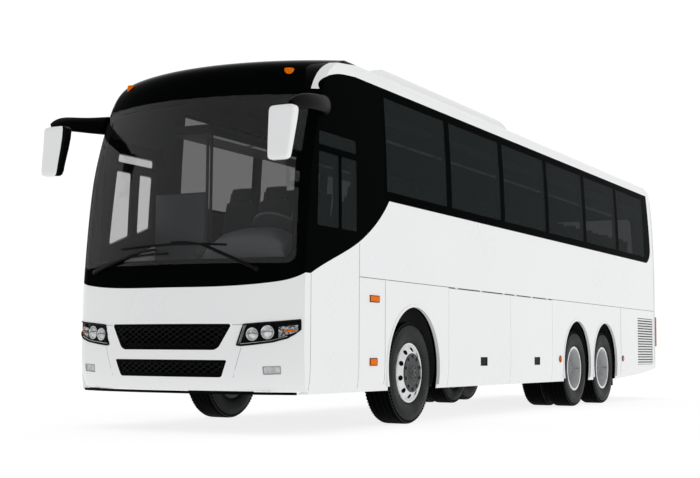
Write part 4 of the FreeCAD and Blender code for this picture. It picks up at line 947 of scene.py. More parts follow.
@dataclass
class Rim:
    """Nuts, hub ring, cap, bolts and valve on a packed rim, and the bright liner of a front one."""

    corner: Corner
    copies: Copies
    nut_count: int = 10
    nut_circle: float = 0.1675
    bolt_count: int = 8
    bolt_circle: float = 0.066
    valve_circle: float = 0.262
    hole_count: int = 10
    hole_circle: float = 0.2385
    hole_rise: float = 0.0635
    disc_x: float = 1.1
    disc_tilt: float = 0.5              # of a normal times the place across the coach, where a face looks out
    depth_tilt: float = -0.3            # the same where it looks in
    nut: Rows = ((-0.004, 0.019), (0.004, 0.019), (0.0045, 0.0155), (0.013, 0.0155), (0.015, 0.009),
                 (0.015, 0.0))
    ring: Rows = ((0.001, 0.142), (-0.003, 0.138), (-0.003, 0.112), (0.001, 0.108), (0.001, 0.09))
    cap: Rows = ((-0.001, 0.092), (0.006, 0.09), (0.012, 0.08), (0.013, 0.03), (0.019, 0.026), (0.02, 0.0))
    liner: Rows = ((0.04, 0.29), (0.051, 0.289), (0.054, 0.284), (0.049, 0.278), (0.042, 0.272),
                   (0.041, 0.266), (0.047, 0.259), (0.061, 0.243), (0.073, 0.222), (0.079, 0.207),
                   (0.08, 0.198))
    # black disc that paints the shade in one hand hole of the liner
    hole: Rows = ((-0.006, 0.0275), (0.0015, 0.0265), (0.0025, 0.0245), (0.0025, 0.0))

    def __post_init__(self) -> None:
        """Choose the hub and work out its place."""
        self.is_front = self.corner.axle == "front"
        self.hub = FRONT_HUB if self.is_front else REAR_HUB
        self.out = self.corner.side.out
        self.centre = self.corner.centre(TYRE_FACE_X - self.hub.depth)
        self.place = facing(self.centre, self.out)

    def build(self) -> None:
        """Dress the wheel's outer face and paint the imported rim."""
        self.add_nuts()
        self.add_ring()
        if self.is_front:
            self.add_liner()
        self.add_cap()
        self.add_valve()
        self.paint()

    def keep(self, label: str, shape: Shape, finish: Finish) -> None:
        """Make a piece that turns with this wheel."""
        shape.piece(f"{label}_{self.corner.name}", finish, self.corner.body)

    def add_nuts(self) -> None:
        """Set the wheel nuts on their ring."""
        seat = self.centre + self.out * (self.hub.rise - 0.001)
        self.copies.spread(f"wheel_nuts_{self.corner.name}",
                           Shape().turned(self.nut, 12, facing(Vector(), self.out)).mesh("nut"),
                           [seat + spoke(a) * self.nut_circle for a in around(self.nut_count, 0.5)],
                           self.hub.paint, self.corner.body)

    def add_ring(self) -> None:
        """Turn the drum whose outer face carries the nuts."""
        rise, wide = self.hub.rise, self.hub.wide
        rows = [(-0.03, wide), (rise - 0.005, wide - 0.001), (rise, wide - 0.006)]
        rows += [(rise + h, r) for h, r in self.ring]
        self.keep("hub_ring", Shape().turned(rows, 56, self.place), self.hub.paint)

    def add_liner(self) -> None:
        """Set the bright domed liner on a front rim, with black discs that paint the shade of its hand holes."""
        self.keep("wheel_liner", Shape().turned(self.liner, 64, self.place), WHEEL_METAL)
        shade_discs = Shape()
        for angle in around(self.hole_count, 1 / 3):
            ray = Vector((math.cos(angle), math.sin(angle), 0))
            middle = self.place @ (ray * self.hole_circle + UP * self.hole_rise)
            shade_discs.turned(self.hole, 18, facing(middle, (self.place.to_3x3() @ (ray * 0.5 + UP)).normalized()))
        # painted shade: black discs where the liner's hand holes are
        self.keep("hand_holes", shade_discs, GRILLE_BLACK)

    def add_cap(self) -> None:
        """Turn the hub cap and set the bolts in its face."""
        reach = self.hub.reach
        cap = Shape().turned([(reach + h, r) for h, r in self.cap], 40, self.place)
        self.keep("hub_cap", cap.turned([(0.0, 0.094), (reach, 0.091)], 40, self.place), self.hub.paint)
        bolts = Shape()
        for angle in around(self.bolt_count):
            start = self.centre + self.out * (reach + 0.01) + spoke(angle) * self.bolt_circle
            bolts.tube([start, start + self.out * 0.009], 0.0075, 6)
        self.keep("cap_bolts", bolts, self.hub.paint)

    def add_valve(self) -> None:
        """Stand the valve's stem and cap in the rim."""
        foot = self.centre + Vector((0, self.valve_circle, 0)) + self.out * (self.hub.depth - 0.085)
        foot, neck, tip = (foot + self.out * height for height in (0.0, 0.045, 0.058))
        self.keep("tyre_valve", Shape().tube([foot, neck], 0.005).tube([neck, tip], 0.0065), CHROME)

    def paint(self) -> None:
        """Paint the rim's depth black as painted shade, and a rear disc with zinc."""
        rim = f"rim_{self.corner.name}"
        # painted shade: the faces that look inwards, and all nearer the middle than black_x, in chassis black
        repaint(rim, CHASSIS_PAINT, lambda middle, normal: normal.x * middle.x < self.depth_tilt
                or abs(middle.x) < self.hub.black_x)
        if not self.is_front:
            repaint(rim, HUB_ZINC, lambda middle, normal: normal.x * middle.x > self.disc_tilt
                    and abs(middle.x) < self.disc_x)


@dataclass
class Headlamp:
    """Bowls, projector lenses, turn lamp, fog lamp and rubber seals of one side."""

    side: Side
    skin: Skin
    round_lamps: tuple[tuple[float, float, float], ...] = ((0.837, 0.882, 0.058), (0.97, 0.899, 0.062))
    bowl: Rows = ((0.0, 1.0), (-0.003, 0.93), (-0.012, 0.82), (-0.022, 0.68), (-0.026, 0.6))
    lens: Rows = ((-0.027, 0.7), (-0.014, 0.66), (-0.007, 0.56), (-0.003, 0.36), (-0.001, 0.0))
    rim: Rows = ((-0.006, 1.13), (0.001, 1.12), (0.003, 1.06), (0.001, 1.0), (-0.006, 0.98))
    sunk: float = -0.012                # lift of the reflectors under the clear cover
    facet_start: Pair = (1.062, 0.853)
    facet_size: Pair = (0.0115, 0.0155)
    facet_rise: float = 0.33
    facet_taper: float = 0.035
    facet_depth: float = 0.009
    rib_start: Pair = (0.94, 0.536)
    rib_size: Pair = (0.0112, 0.0155)
    rib_depth: float = 0.006
    bulbs: tuple[tuple[float, ...], ...] = ((1.128, 0.909, 0.026, 0.01), (1.16, 0.918, 0.024, 0.011),
                                            (1.186, 0.91, 0.02, 0.008))
    dome: Rows = ((1.0, 0.0), (0.9, 0.005), (0.6, 0.009), (0.05, 0.011))
    strip: Rows = ((0.735, 0.796), (0.80, 0.802), (0.874, 0.81), (0.95, 0.818), (1.019, 0.829),
                   (1.08, 0.846), (1.138, 0.865))
    outline: Rows = ((0.703, 0.786), (0.76, 0.9665), (0.905, 0.9795), (1.075, 0.9925), (1.245, 1.0085),
                     (1.246, 0.925), (1.195, 0.884), (1.138, 0.85), (1.019, 0.816), (0.874, 0.796),
                     (0.745, 0.782))
    fog_outline: Rows = ((0.932, 0.53), (1.08, 0.536), (1.08, 0.603), (0.929, 0.597))

    def build(self) -> None:
        """Build the lamps of the unit, then the seals and the fog lamp."""
        self.add_round_lamps("reflector_bowls", self.bowl, 40, REFLECTOR)
        self.add_round_lamps("projector_lenses", self.lens, 32, PROJECTOR_GLASS)
        self.add_round_lamps("lamp_rims", self.rim, 40, BLACK_ABS)
        self.add_shields()
        self.add_turn_lamp()
        self.add_seal("head", self.outline, 0.0075, EPDM_RUBBER)
        self.add_seal("fog", self.fog_outline, 0.002, JOINT_SEALANT)
        self.add_fog_lamp()

    def on(self, x: float, z: float, lift: float) -> Vector:
        """Return the point of this side's front at a width and height, lifted off the surface."""
        return self.skin.front(self.side.value * x, z, lift)

    def outward(self, x: float, z: float) -> Vector:
        """Return the outward normal of this side's front at a width and height."""
        return self.skin.outward(self.side.value * x, z)

    def lamp_place(self, x: float, z: float) -> Matrix:
        """Return the place of a round lamp, turned nearly to the road ahead."""
        return facing(self.on(x, z, -0.007), self.outward(x, z).lerp(Vector((0, -1, 0)), 0.4))

    def add_round_lamps(self, label: str, rows: Rows, steps: int, finish: Finish) -> None:
        """Turn one part of both round lamps.

        Args:
            label: Name of the part.
            rows: Its outline, in height and share of the lamp's radius.
            steps: How many sides it has.
            finish: What it is made of.
        """
        shape = Shape()
        for x, z, r in self.round_lamps:
            shape.turned([(h, r * share) for h, share in rows], steps, self.lamp_place(x, z))
        shape.piece(f"{label}_{self.side.word}", finish)

    def add_seal(self, label: str, outline: Rows, radius: float, finish: Finish) -> None:
        """Lay a seal round a lamp.

        Args:
            label: Which lamp.
            outline: Its corners, by width and height.
            radius: The seal's thickness.
            finish: What it is made of.
        """
        path = [self.on(x, z, 0.0005) for (x0, z0), (x1, z1) in zip(outline, (*outline[1:], outline[0]))
                for x, z in list(zip(spaced(x0, x1, 6), spaced(z0, z1, 6)))[:-1]]
        Shape().tube([*path, path[0]], radius, 6).piece(f"{label}lamp_seal_{self.side.word}", finish)

    def add_fog_lamp(self) -> None:
        """Fill the fog lamp with its ribbed reflector."""
        (x, z), (wide, high) = self.rib_start, self.rib_size
        ribs = Shape().grid(5, 13, lambda i, k: self.on(x + k * wide, z + i * high,
                                                        self.sunk - self.rib_depth * (k % 2)))
        ribs.piece(f"fog_reflector_{self.side.word}", REFLECTOR, sharp_deg=5.0)

    def add_shields(self) -> None:
        """Bend the thin shield across each projector lens."""
        shields = Shape()
        for x, z, r in self.round_lamps:
            place = self.lamp_place(x, z)
            level = (place.to_3x3() @ UP).cross(UP).normalized()
            shields.tube([place @ Vector((0, 0, 0.001)) + level * r * 0.9 * s + UP * 0.16 * r * (1 - s * s)
                          for s in spaced(-1, 1, 8)], r * 0.045, 6)
        shields.piece(f"lamp_shields_{self.side.word}", BLACK_ABS)

    def add_turn_lamp(self) -> None:
        """Add the turn lamp's faceted reflector and amber bulb covers, and the bright strip of the unit."""
        (x, z), (wide, high) = self.facet_start, self.facet_size

        def facet(i: int, k: int) -> Vector:
            """Place a corner of the facets, every second one of which is sunk.

            Args:
                i: Its row.
                k: Its column.

            Returns:
                Its place.
            """
            across = k * wide
            height = z + across * self.facet_rise + i * (high - across * self.facet_taper)
            return self.on(x + across, height, self.sunk - self.facet_depth * ((i + k) % 2))

        Shape().grid(7, 15, facet).piece(f"turn_reflector_{self.side.word}", FACETS, sharp_deg=5.0)
        bulb = Shape()
        for bulb_x, bulb_z, half_x, half_z in self.bulbs:
            out = self.outward(bulb_x, bulb_z)
            level = out.cross(UP).normalized() * half_x
            middle = self.on(bulb_x, bulb_z, self.sunk)
            bulb.loft([[middle + (level * math.cos(a) + UP * half_z * math.sin(a)) * share + out * lift
                        for a in around(20)] for share, lift in self.dome])
        bulb.piece(f"turn_bulb_{self.side.word}", AMBER_ACRYLIC)
        strip = Shape().tube([self.on(x, z, -0.003) for x, z in self.strip], 0.0035, 6)
        strip.piece(f"lamp_bright_strip_{self.side.word}", CHROME)


@dataclass(frozen=True)
class Opening:
    """Opening with level upper and lower edges and sloping ends, as half widths and heights."""

    top_x: float
    top_z: float
    low_x: float
    low_z: float

    def half_width(self, z: float) -> float:
        """Return half of its width at a height."""
        return self.low_x + (self.top_x - self.low_x) * (z - self.low_z) / (self.top_z - self.low_z)


@dataclass
class GrilleMesh:
    """Expanded mesh over the two grilles, woven of two families of strands, and the ducts behind it."""

    openings: tuple[Opening, ...] = (Opening(0.656, 0.972, 0.524, 0.741), Opening(0.612, 0.653, 0.552, 0.5))
    pitch: float = 0.078
    pitches: int = 12
    slope: float = 0.59
    margin: float = 0.012
    strand: float = 0.0022
    side_margin: float = 0.0192
    duct_margin: float = 0.004
    behind_skin: float = 0.0045
    duct_depth: float = 0.045
    profile: Rows = ((0.42, -2.509), (0.48, -2.532), (0.62, -2.557), (1.0, -2.562))
    plan_radius: float = 3.0

    def build(self) -> None:
        """Weave both grilles and close the ducts."""
        strands, ducts = Shape(), Shape()
        for opening in self.openings:
            for lean in (1, -1):
                for k in range(-self.pitches, self.pitches + 1):
                    self.add_strand(strands, k * self.pitch, lean, opening)
            levels = spaced(opening.low_z, opening.top_z, 4)
            ducts.grid(5, 17, lambda i, k: self.behind(
                (k / 8 - 1) * (opening.half_width(levels[i]) - self.duct_margin), levels[i], self.duct_depth))
        strands.piece("grille_strands", MESH_METAL)
        ducts.piece("grille_ducts", GRILLE_BLACK)

    def add_strand(self, strands: Shape, foot_x: float, lean: int, opening: Opening) -> None:
        """Add one strand, as far as it runs inside its opening.

        Args:
            strands: The mesh it goes into.
            foot_x: Where it would meet the opening's lowest level.
            lean: Which way it climbs.
            opening: The opening.
        """
        path = []
        for z in spaced(opening.low_z + self.margin, opening.top_z - self.margin, 24):
            x = foot_x + lean * (z - opening.low_z) / self.slope
            if abs(x) < opening.half_width(z) - self.side_margin:
                path.append(self.behind(x, z, self.behind_skin))
        if len(path) > 1:
            strands.tube([path[0], *path[1:-1:3], path[-1]], self.strand, 4)

    def behind(self, x: float, z: float, depth: float) -> Vector:
        """Return a point behind the nose's skin.

        Args:
            x: Its place across the coach.
            z: Its height.
            depth: Its distance behind the skin.

        Returns:
            The point.
        """
        y = self.profile[-1][1]
        for (z0, y0), (z1, y1) in zip(self.profile, self.profile[1:]):
            if z0 <= z <= z1:
                y = y0 + (y1 - y0) * (z - z0) / (z1 - z0)
        return at(x, y + self.plan_radius - math.sqrt(self.plan_radius ** 2 - x * x) + depth, z)


@dataclass
class Seams:
    """Sealed joints between the body panels, drawn on the real surfaces, and a black strip under the bumper that
    paints the shade beneath it.
    """

    body: Skin
    width: float = 0.0022
    step: float = 0.14
    door_end_y: float = -0.9
    uprights: tuple[tuple[float, float, float], ...] = (
        (-2.17, 0.39, 1.42), (-1.245, 0.39, 1.76), (-0.69, 0.42, 1.43), (7.5, 0.42, 1.43), (9.478, 0.5, 3.3))
    bumper_end: Rows = ((0.66, 0.964), (0.7, 0.9641), (0.76, 0.9643))
    bumper_side: Rows = ((0.743, 0.761), (0.716, 0.67), (0.69, 0.59), (0.662, 0.5))
    # section of the black strip that paints the shade under the bumper: depth in and height
    lip: Rows = ((0.014, 0.374), (0.03, 0.374), (0.036, 0.35), (0.022, 0.35))
    lip_z: float = 0.376
    nose_y: float = -2.47
    corner: Pair = (0.955, -2.13)
    corner_radii: Pair = (0.32, 0.26)
    corner_degrees: range = range(38, 75, 6)
    lip_centre_y: float = -0.6          # where the strip's sections look to

    def build(self) -> None:
        """Draw the joints of both sides and of the front, and hang the black strip of painted shade."""
        joints = Shape()
        for side in Side:
            for y, low, high in self.uprights:
                if side is Side.LEFT or y > self.door_end_y:
                    heights = spaced(low, high, max(14, round((high - low) / self.step)))
                    joints.tube([self.body.side(side, y, z) for z in heights], self.width, 6)
        for line, share in ((self.bumper_end, 1.0), (self.bumper_side, 0.8)):
            for side in Side:
                joints.tube([self.body.front(side.value * x, z) for x, z in line], self.width * share, 6)
        joints.piece("panel_joints", JOINT_SEALANT)
        self.add_lip()

    def add_lip(self) -> None:
        """Hang a black strip along the bumper's lower edge, round both corners, as painted shade under it."""
        (x, y), (half_x, half_y) = self.corner, self.corner_radii
        guesses = [(x + half_x * math.cos(a), y - half_y * math.sin(a))
                   for a in (math.radians(degrees) for degrees in self.corner_degrees)]
        guesses += [(1.0 - 0.1 * k, self.nose_y) for k in range(11)]
        path = [self.body.nearest(at(x, y, self.lip_z)) for x, y in guesses]
        path += [Vector((-p.x, p.y, p.z)) for p in path[-2::-1]]
        rings = []
        for point in path:
            inward = (at(0, self.lip_centre_y, point.z) - point).normalized()
            rings.append([Vector((point.x, point.y, z)) + inward * depth for depth, z in self.lip])
        Shape().loft(rings).piece("bumper_rubber_lip", GRILLE_BLACK)


@dataclass
class Mirror:
    """Mirror head: a leaning white shell and its black back with two silvered plates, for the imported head."""

    side: Side
    sections: tuple[tuple[float, ...], ...] = (          # height, middle, half width and half depth
        (2.366, 1.25, -2.712, 0.06, 0.02), (2.37, 1.25, -2.71, 0.086, 0.034),
        (2.386, 1.25, -2.706, 0.104, 0.044), (2.42, 1.25, -2.7, 0.11, 0.048),
        (2.52, 1.25, -2.684, 0.118, 0.052), (2.638, 1.249, -2.662, 0.126, 0.058),
        (2.738, 1.25, -2.646, 0.132, 0.062),
        (2.803, 1.251, -2.64, 0.134, 0.064), (2.83, 1.252, -2.638, 0.128, 0.06),
        (2.845, 1.253, -2.637, 0.112, 0.048), (2.851, 1.253, -2.637, 0.08, 0.028))
    points: int = 40
    squareness: float = 0.38
    white_share: Pair = (0.65, 1.04)
    plates: tuple[Rows, ...] = (((-2.6505, 2.415), (-2.6305, 2.555)), ((-2.6285, 2.565), (-2.584, 2.808)))
    plate_x: Pair = (1.16, 1.34)
    plate_depth: float = 0.006

    def build(self) -> None:
        """Build the shell, the back and the plates."""
        rings = [self.ring(*section) for section in self.sections]
        first, last = (int(self.points * share) for share in self.white_share)
        white, black = (
            Shape().grid(len(rings), end - start + 1, lambda i, k: rings[i][(start + k) % self.points])
            for start, end in ((first, last), (last, first + self.points)))
        for ring in (rings[0], rings[-1]):
            white.add(ring, [tuple(range(self.points))])
        plates = Shape()
        near, far = self.plate_x
        for ends in self.plates:
            plates.loft([[self.side.at(x, y + depth, z) for x, depth in (
                (near, 0.0), (far, 0.0), (far, self.plate_depth), (near, self.plate_depth))] for y, z in ends])
        for label, shape, finish in (("shell", white, WHITE_ENAMEL), ("back", black, BLACK_ABS),
                                     ("plates", plates, SILVERED_GLASS)):
            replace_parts(shape.piece(f"mirror_{label}_{self.side.word}", finish, sharp_deg=50.0), "mirrors")

    def ring(self, z: float, x: float, y: float, half_x: float, half_y: float) -> list[Vector]:
        """Draw one level of the head, a rectangle with round corners.

        Args:
            z: Its height.
            x: Its middle across the coach.
            y: Its middle along the coach.
            half_x: Half of its width.
            half_y: Half of its depth.

        Returns:
            Its points.
        """
        return [self.side.at(x + half_x * squared(math.cos(a), self.squareness),
                             y + half_y * squared(math.sin(a), self.squareness), z)
                for a in around(self.points)]


@dataclass
class Wipers:
    """Two wiper arms with their blades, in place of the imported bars."""

    nose: Skin
    arms: tuple[Rows, ...] = (
        ((0.868, 1.455), (0.7, 1.532), (0.52, 1.61), (0.357, 1.68), (0.2, 1.7), (0.068, 1.706)),
        ((-0.93, 1.465), (-0.76, 1.513), (-0.6, 1.556), (-0.429, 1.602), (-0.3, 1.63), (-0.17, 1.643)))
    blades: tuple[Rows, ...] = (
        ((-0.57, 1.668), (-0.25, 1.684), (0.068, 1.692), (0.33, 1.686), (0.584, 1.674)),
        ((-0.91, 1.502), (-0.66, 1.556), (-0.429, 1.588), (-0.2, 1.603), (-0.012, 1.609)))
    pivot: Rows = ((-0.004, 0.026), (0.02, 0.025), (0.036, 0.022), (0.04, 0.016), (0.041, 0.0))

    def build(self) -> None:
        """Build both wipers."""
        arms, blades, hinges = Shape(), Shape(), Shape()
        for arm, blade in zip(self.arms, self.blades):
            path = [self.nose.front(x, z, 0.03) for x, z in arm]
            arms.tube(path[:4], 0.016).tube(path[3:], 0.011)
            arms.turned(self.pivot, 24, facing(self.nose.front(*arm[0]), self.nose.outward(*arm[0])))
            line = [self.nose.front(x, z, 0.011) for x, z in blade]
            spine = [self.nose.front(x, z + 0.004, 0.019) for x, z in blade]
            blades.tube(line, 0.0085, 6).tube(spine, 0.0075, 6)
            for spot, low, high, bevel in ((path[-1], (0.035, 0.012, 0.009), (0.035, 0.014, 0.009), 0.004),
                                           (line[1], (0.012, 0.014, 0.007), (0.012, 0.002, 0.009), 0.002),
                                           (line[2], (0.012, 0.014, 0.007), (0.012, 0.002, 0.009), 0.002)):
                hinges.block(spot - Vector(low), spot + Vector(high), bevel)
        for name, shape, finish in (("wiper_arms", arms, ARM_STEEL), ("wiper_blades", blades, EPDM_RUBBER),
                                    ("wiper_hinges", hinges, ARM_STEEL)):
            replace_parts(shape.piece(name, finish), "wipers")


@dataclass
class Seats:
    """Upholstered pairs of seats on plain feet, with the driver's seat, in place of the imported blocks."""

    copies: Copies
    rows: int = 11
    pitch: float = 0.8
    first_y: float = -0.35
    floor_z: float = 1.4
    pair_x: float = 0.76
    spacing: float = 0.45
    driver: tuple[float, float, float] = (0.65, -1.65, 1.15)
    back: tuple[Rows, Rows] = (((-0.2, 0.0), (0.2, 0.0), (0.19, 0.028), (-0.19, 0.028)),
                               ((0.40, 0.49), (0.62, 0.525), (0.9, 0.575), (1.13, 0.62)))
    base: tuple[tuple[Box, float], ...] = (             # pan, foot and arm rest, each with its bevel
        (((-0.2, 0.02, 0.33), (0.2, 0.5, 0.37)), 0.01), (((-0.12, 0.18, 0.001), (0.12, 0.36, 0.33)), 0.012),
        (((-0.222, 0.12, 0.58), (-0.2, 0.5, 0.62)), 0.008))
    channel: tuple[float, float, float] = (0.55, 0.08, 0.012)       # share of the width, spread and depth

    def build(self) -> None:
        """Build the cushions, backs, head rests, shells and feet, and repeat them along the cabin."""
        spots = [at(side.value * self.pair_x + dx, self.first_y + self.pitch * row, self.floor_z)
                 for side in Side for dx in (-self.spacing / 2, self.spacing / 2) for row in range(self.rows)]
        spots.append(at(*self.driver))
        pads = self.copies.spread("seat_pads", self.pads(), spots, MOQUETTE)
        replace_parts(pads, "seats")
        self.copies.spread("seat_shells", self.shells(), spots, CABIN_ABS)

    def pads(self) -> bpy.types.Mesh:
        """Build one seat's cushion, back and head rest, puffed between their stitched edges.

        Returns:
            The mesh.
        """
        pads = Shape()
        lean = Vector((0, 0.11, 0.62)).normalized()
        for centre, half_width, along, puff, steps in (
                ((0, 0.24, 0.42), 0.205, Vector((0, 0.25, 0.012)), 0.07, 10),
                ((0, 0.485, 0.73), 0.205, lean * 0.30, 0.055, 10),
                ((0, 0.545, 1.09), 0.14, lean * 0.085, 0.05, 8)):
            self.pillow(pads, Vector(centre), Vector((half_width, 0, 0)), along, puff, steps)
        return pads.mesh("seat_pads", 60.0)

    def pillow(self, shape: Shape, centre: Vector, across: Vector, along: Vector, puff: float,
               steps: int) -> None:
        """Add a stuffed pad: two bulging skins that meet in a seam.

        Args:
            shape: The mesh it goes into.
            centre: Its middle.
            across: From the middle to its side.
            along: From the middle to its end.
            puff: Half of its thickness.
            steps: Divisions each way.
        """
        out = across.cross(along).normalized()
        shares = spaced(-1, 1, steps)
        place, spread, depth = self.channel
        for sign in (1, -1):
            def bulged(i: int, k: int) -> Vector:
                """Place a point of one skin, into which two sewn channels are sunk.

                Args:
                    i: Its row across the pad.
                    k: Its column along the pad.

                Returns:
                    Its place.
                """
                u, v = shares[i], shares[k]
                bulge = puff * ((1 - abs(u) ** 4) * (1 - abs(v) ** 4)) ** 0.5
                bulge -= depth * math.exp(-((abs(u) - place) / spread) ** 2) * (1 - abs(v) ** 6)
                return centre + (across * u + along * v) * (1 - 0.06 * (u * u * v * v)) + out * sign * bulge
            shape.grid(steps + 1, steps + 1, bulged)

    def shells(self) -> bpy.types.Mesh:
        """Build one seat's back shell, pan, foot and arm rest.

        Returns:
            The mesh.
        """
        section, line = self.back
        shells = Shape().loft([[Vector((x, y + dy, z)) for x, dy in section] for z, y in line])
        for box, bevel in self.base:
            shells.block(*box, bevel)
        return shells.mesh("seat_shells")


@dataclass
class Cabin:
    """Rack lamps, handrails, dashboard fittings, binnacle hood and the partition by the stairs."""

    lamp_count: int = 12
    lamp_first_y: float = -0.75
    lamp_pitch: float = 0.82
    lamp_length: float = 0.72
    lamp_x: Pair = (0.735, 0.80)
    lamp_z: Pair = (3.012, 3.0195)
    rail_x: float = 0.715
    rail_z: float = 3.05
    rail_ends: Pair = (-0.85, 9.1)
    post_x: float = -0.53
    post_stations: Pair = (-1.17, -1.1)
    post_z: Pair = (CAB_FLOOR_Z, 3.02)
    pod: Box = ((0.36, -2.06, 1.715), (0.92, -1.86, 1.775))
    screen: Box = ((-0.1, -1.98, 1.6), (0.22, -1.9, 1.74))
    switch: Box = ((-0.08, -1.897, 1.615), (-0.045, -1.89, 1.635))
    switch_count: int = 6
    switch_pitch: float = 0.05
    partition: Box = ((-1.19, -1.16, CAB_FLOOR_Z), (-0.56, -1.11, 2.36))
    hood_foot: Pair = (0.6, 1.575)
    hood_half_width: float = 0.44
    hood: Rows = ((-2.24, 0.1), (-2.2, 0.2), (-2.1, 0.27), (-1.98, 0.3), (-1.88, 0.28), (-1.85, 0.24))

    def build(self) -> None:
        """Build the fixed fittings of the cabin."""
        self.add_rack_lamps()
        self.add_handrails()
        self.add_dashboard()
        self.add_hood()
        partition = Shape().block(*(at(*corner) for corner in self.partition), 0.02, 3)
        partition.piece("stair_partition", GREY_VINYL)

    def add_rack_lamps(self) -> None:
        """Hang the opal lamps along the inner edge of the luggage racks."""
        lamps = Shape()
        (near, far), (low, high) = self.lamp_x, self.lamp_z
        for side in Side:
            for y in (self.lamp_first_y + i * self.lamp_pitch for i in range(self.lamp_count)):
                lamps.block(side.at(near, y, low), side.at(far, y + self.lamp_length, high), 0.002)
        lamps.piece("rack_lamps", OPAL_DIFFUSER)

    def add_handrails(self) -> None:
        """Stand the tubes by the entrance and run the rails along the racks."""
        rails = Shape()
        for y in self.post_stations:
            rails.tube([at(self.post_x, y, z) for z in self.post_z], 0.016)
        for side in Side:
            rails.tube([side.at(self.rail_x, y, self.rail_z) for y in self.rail_ends], 0.012)
        rails.piece("handrails", CABIN_ABS)

    def add_dashboard(self) -> None:
        """Add the instrument pod, the screen and the row of switches."""
        fittings = Shape().block(*(at(*corner) for corner in self.pod), 0.02, 3)
        fittings.block(*(at(*corner) for corner in self.screen), 0.012, 2)
        for shift in (i * self.switch_pitch for i in range(self.switch_count)):
            fittings.block(*(at(x + shift, y, z) for x, y, z in self.switch), 0.002)
        fittings.piece("dashboard_fittings", CABIN_ABS)

    def add_hood(self) -> None:
        """Arch the padded hood over the instruments."""
        middle_x, foot_z = self.hood_foot
        hood = Shape().loft([[at(middle_x + self.hood_half_width * squared(math.cos(a), 0.7), y,
                                 foot_z + height * max(math.sin(a), 0.0) ** 0.8)
                              for a in spaced(0.0, math.pi, 24)] for y, height in self.hood])
        hood.piece("binnacle_hood", GREY_VINYL)


@dataclass
class SideDetails:
    """Latches of the luggage doors and bezels of the small side lamps."""

    latches: tuple[tuple[str, float], ...] = (("front", 1.893), ("rear", 3.701))
    latch_z: float = 0.632
    latch_half: Pair = (0.1055, 0.051)          # along the coach and upwards
    latch_x: Pair = (1.25, 1.2745)
    pull_half: Pair = (0.06, 0.02)
    pull_x: Pair = (1.2685, 1.2725)
    barrel_y: float = 0.078                     # from the latch's middle
    barrel_x: Pair = (1.268, 1.273)
    marker_lamps: tuple[Rows, ...] = (((-1.02, -0.83), (1.219, 1.271)), ((-1.016, -0.869), (0.609, 0.666)))
    round_lamps: Rows = ((4.61, 0.656), (7.595, 0.66))
    bezel_x: float = 1.2752
    bezel_lip: float = 0.008
    bezel: Rows = ((0.0, 0.046), (0.006, 0.045), (0.009, 0.041), (0.009, 0.037), (0.0, 0.037))

    def build(self) -> None:
        """Dress both sides."""
        for name, y in self.latches:
            for side in Side:
                self.add_latch(f"luggage_door_{name}_{side.word}", y, side)
        for side in Side:
            bezels = Shape()
            for (y0, y1), (z0, z1) in self.marker_lamps if side is Side.LEFT else ():
                bezels.block(at(self.bezel_x, y0 - self.bezel_lip, z0 - self.bezel_lip),
                             at(self.bezel_x + 0.004, y1 + self.bezel_lip, z1 + self.bezel_lip), 0.0015)
            for y, z in self.round_lamps:
                bezels.turned(self.bezel, 32, facing(side.at(self.bezel_x, y, z), side.out))
            bezels.piece(f"lamp_bezels_{side.word}", BLACK_ABS)

    def add_latch(self, node: str, y: float, side: Side) -> None:
        """Paint a sunk latch black and add its pull and lock barrel.

        Args:
            node: The luggage door.
            y: Station of the latch.
            side: Side of the coach.
        """
        z = self.latch_z
        (long, high), (near, far) = self.latch_half, self.latch_x
        repaint(node, BLACK_ABS, lambda middle, normal: abs(middle.y - y - ROW_Y) < long
                and abs(middle.z - z) < high and near < abs(middle.x) < far)
        pull = Shape().block(*(side.at(x, y + sign * self.pull_half[0], z + sign * self.pull_half[1])
                               for x, sign in zip(self.pull_x, (-1, 1))), 0.0015)
        pull.tube([side.at(x, y + self.barrel_y, z) for x in self.barrel_x], 0.008, 16)
        pull.piece("pull_" + node, BLACK_ABS, node + "_leaf")


@dataclass
class RearDetails:
    """Blank plate and exhaust tail pipe."""

    plate: Box = ((-0.26, 9.787, 0.62), (0.26, 9.791, 0.74))
    pipe_foot: tuple[float, float, float] = (0.82, 9.55, 0.44)
    pipe: Rows = ((0.0, 0.05), (0.2, 0.05), (0.2, 0.044), (0.0, 0.044))

    def build(self) -> None:
        """Dress the tail."""
        plate = Shape().block(*(at(*corner) for corner in self.plate), 0.0015)
        plate.piece("blank_rear_plate", PLATE_SHEETING)
        place = facing(at(*self.pipe_foot), Vector((0, 1, 0)))
        Shape().turned(self.pipe, 32, place, closed=True).piece("exhaust_tail_pipe", CHROME)


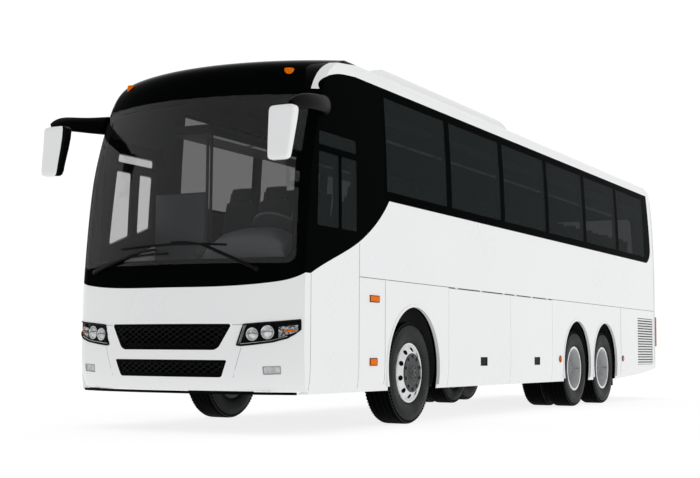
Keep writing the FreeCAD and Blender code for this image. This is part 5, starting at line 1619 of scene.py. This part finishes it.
@dataclass
class Studio:
    """White floor, even light and the camera at the photograph's place."""

    camera_place: tuple[float, float, float] = (6.90687, -15.5579, 0.733405)
    yaw_deg: float = 27.944
    pitch_deg: float = 5.005
    roll_deg: float = 0.386
    focal_pixels: float = 1287.467
    photo_width: int = 700
    sensor_mm: float = 36.0
    floor_size: float = 400.0
    floor_glow: float = 0.83
    sky: tuple[tuple[str, Pair, Pair], ...] = (         # axis, its range and the strength at both ends of it
        ("Y", (-0.8, 0.0), (0.55, 1.05)), ("Z", (0.35, 0.95), (1.0, 0.78)))

    def build(self) -> None:
        """Build the camera, the floor and the sky."""
        self.add_camera()
        self.add_floor()
        self.add_sky()

    def add_camera(self) -> None:
        """Place the camera as the photograph was taken."""
        lens = bpy.data.cameras.new("camera")
        lens.sensor_width = self.sensor_mm
        lens.lens = self.focal_pixels / self.photo_width * self.sensor_mm
        lens.clip_end = self.floor_size * 2
        camera = set_out("camera", lens)
        yaw, pitch, roll = (math.radians(a) for a in (self.yaw_deg, self.pitch_deg, self.roll_deg))
        camera.matrix_world = (Matrix.Translation(self.camera_place) @ Matrix.Rotation(yaw, 4, "Z")
                               @ Matrix.Rotation(math.pi / 2 + pitch, 4, "X") @ Matrix.Rotation(roll, 4, "Z"))
        bpy.context.scene.camera = camera

    def add_floor(self) -> None:
        """Lay the floor, which glows a little."""
        mesh = bpy.data.meshes.new("studio_floor")
        corners = ((-1, -1, 0), (1, -1, 0), (1, 1, 0), (-1, 1, 0))
        mesh.from_pydata([Vector(corner) * self.floor_size / 2 for corner in corners], [], [(0, 1, 2, 3)])
        mesh.materials.append(OPAL_FLOOR.material())
        feed(OPAL_FLOOR.shader, {"Emission Color": linear("#ffffff"), "Emission Strength": self.floor_glow})
        set_out("studio_floor", mesh)

    def add_sky(self) -> None:
        """Fill the room with white light, weaker ahead of the coach and overhead."""
        world = bpy.data.worlds.new("studio")
        bpy.context.scene.world = world
        world.use_nodes = True
        tree = world.node_tree
        place = add_node(tree, "ShaderNodeTexCoord", "Generated", {})
        shares = []
        for axis, (low, high), (start, end) in self.sky:
            part = add_node(tree, "ShaderNodeSeparateXYZ", axis, {"Vector": place})
            shares.append(add_node(tree, "ShaderNodeMapRange", "Result", {
                "Value": part, "From Min": low, "From Max": high, "To Min": start, "To Max": end}))
        strength = add_node(tree, "ShaderNodeMath", 0, dict(enumerate(shares)), operation="MULTIPLY")
        feed(tree.nodes["Background"], {"Color": linear("#ffffff"), "Strength": strength})
        bpy.context.scene.view_settings.view_transform = "Standard"


def main() -> None:
    """Build the coach's pieces and the studio in order, and report each piece."""
    logging.basicConfig(level=logging.INFO, format="%(message)s")
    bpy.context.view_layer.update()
    dress_nodes()
    mask_enamels()
    print_border()
    copies = Copies()
    nose = Skin("front_bumper", "front_panel", "headlamps", "windscreen_surround", "windscreen")
    doors = [f"luggage_door_{row}_{side.word}" for row in ("front", "rear") for side in Side]
    walls = Skin("skirt_panels", "waist_panels", "windscreen_surround", "window_frames", "rear_wall",
                 "front_bumper", "front_panel", "headlamps", *doors, "rear_bumper")
    corners = [Corner(side, axle) for side in Side for axle in AXLES]
    parts = (*(Tyre(corner, copies) for corner in corners), *(Rim(corner, copies) for corner in corners),
             *(Headlamp(side, nose) for side in Side), GrilleMesh(), Seams(walls),
             *(Mirror(side) for side in Side), Wipers(nose), Seats(copies), Cabin(), SideDetails(),
             RearDetails(), Studio())
    for part in parts:
        before = set(bpy.data.objects.keys())
        part.build()
        for name in sorted(set(bpy.data.objects.keys()) - before):
            LOG.info("%s: built %s", type(part).__name__, name)


if __name__ == "__main__":
    main()
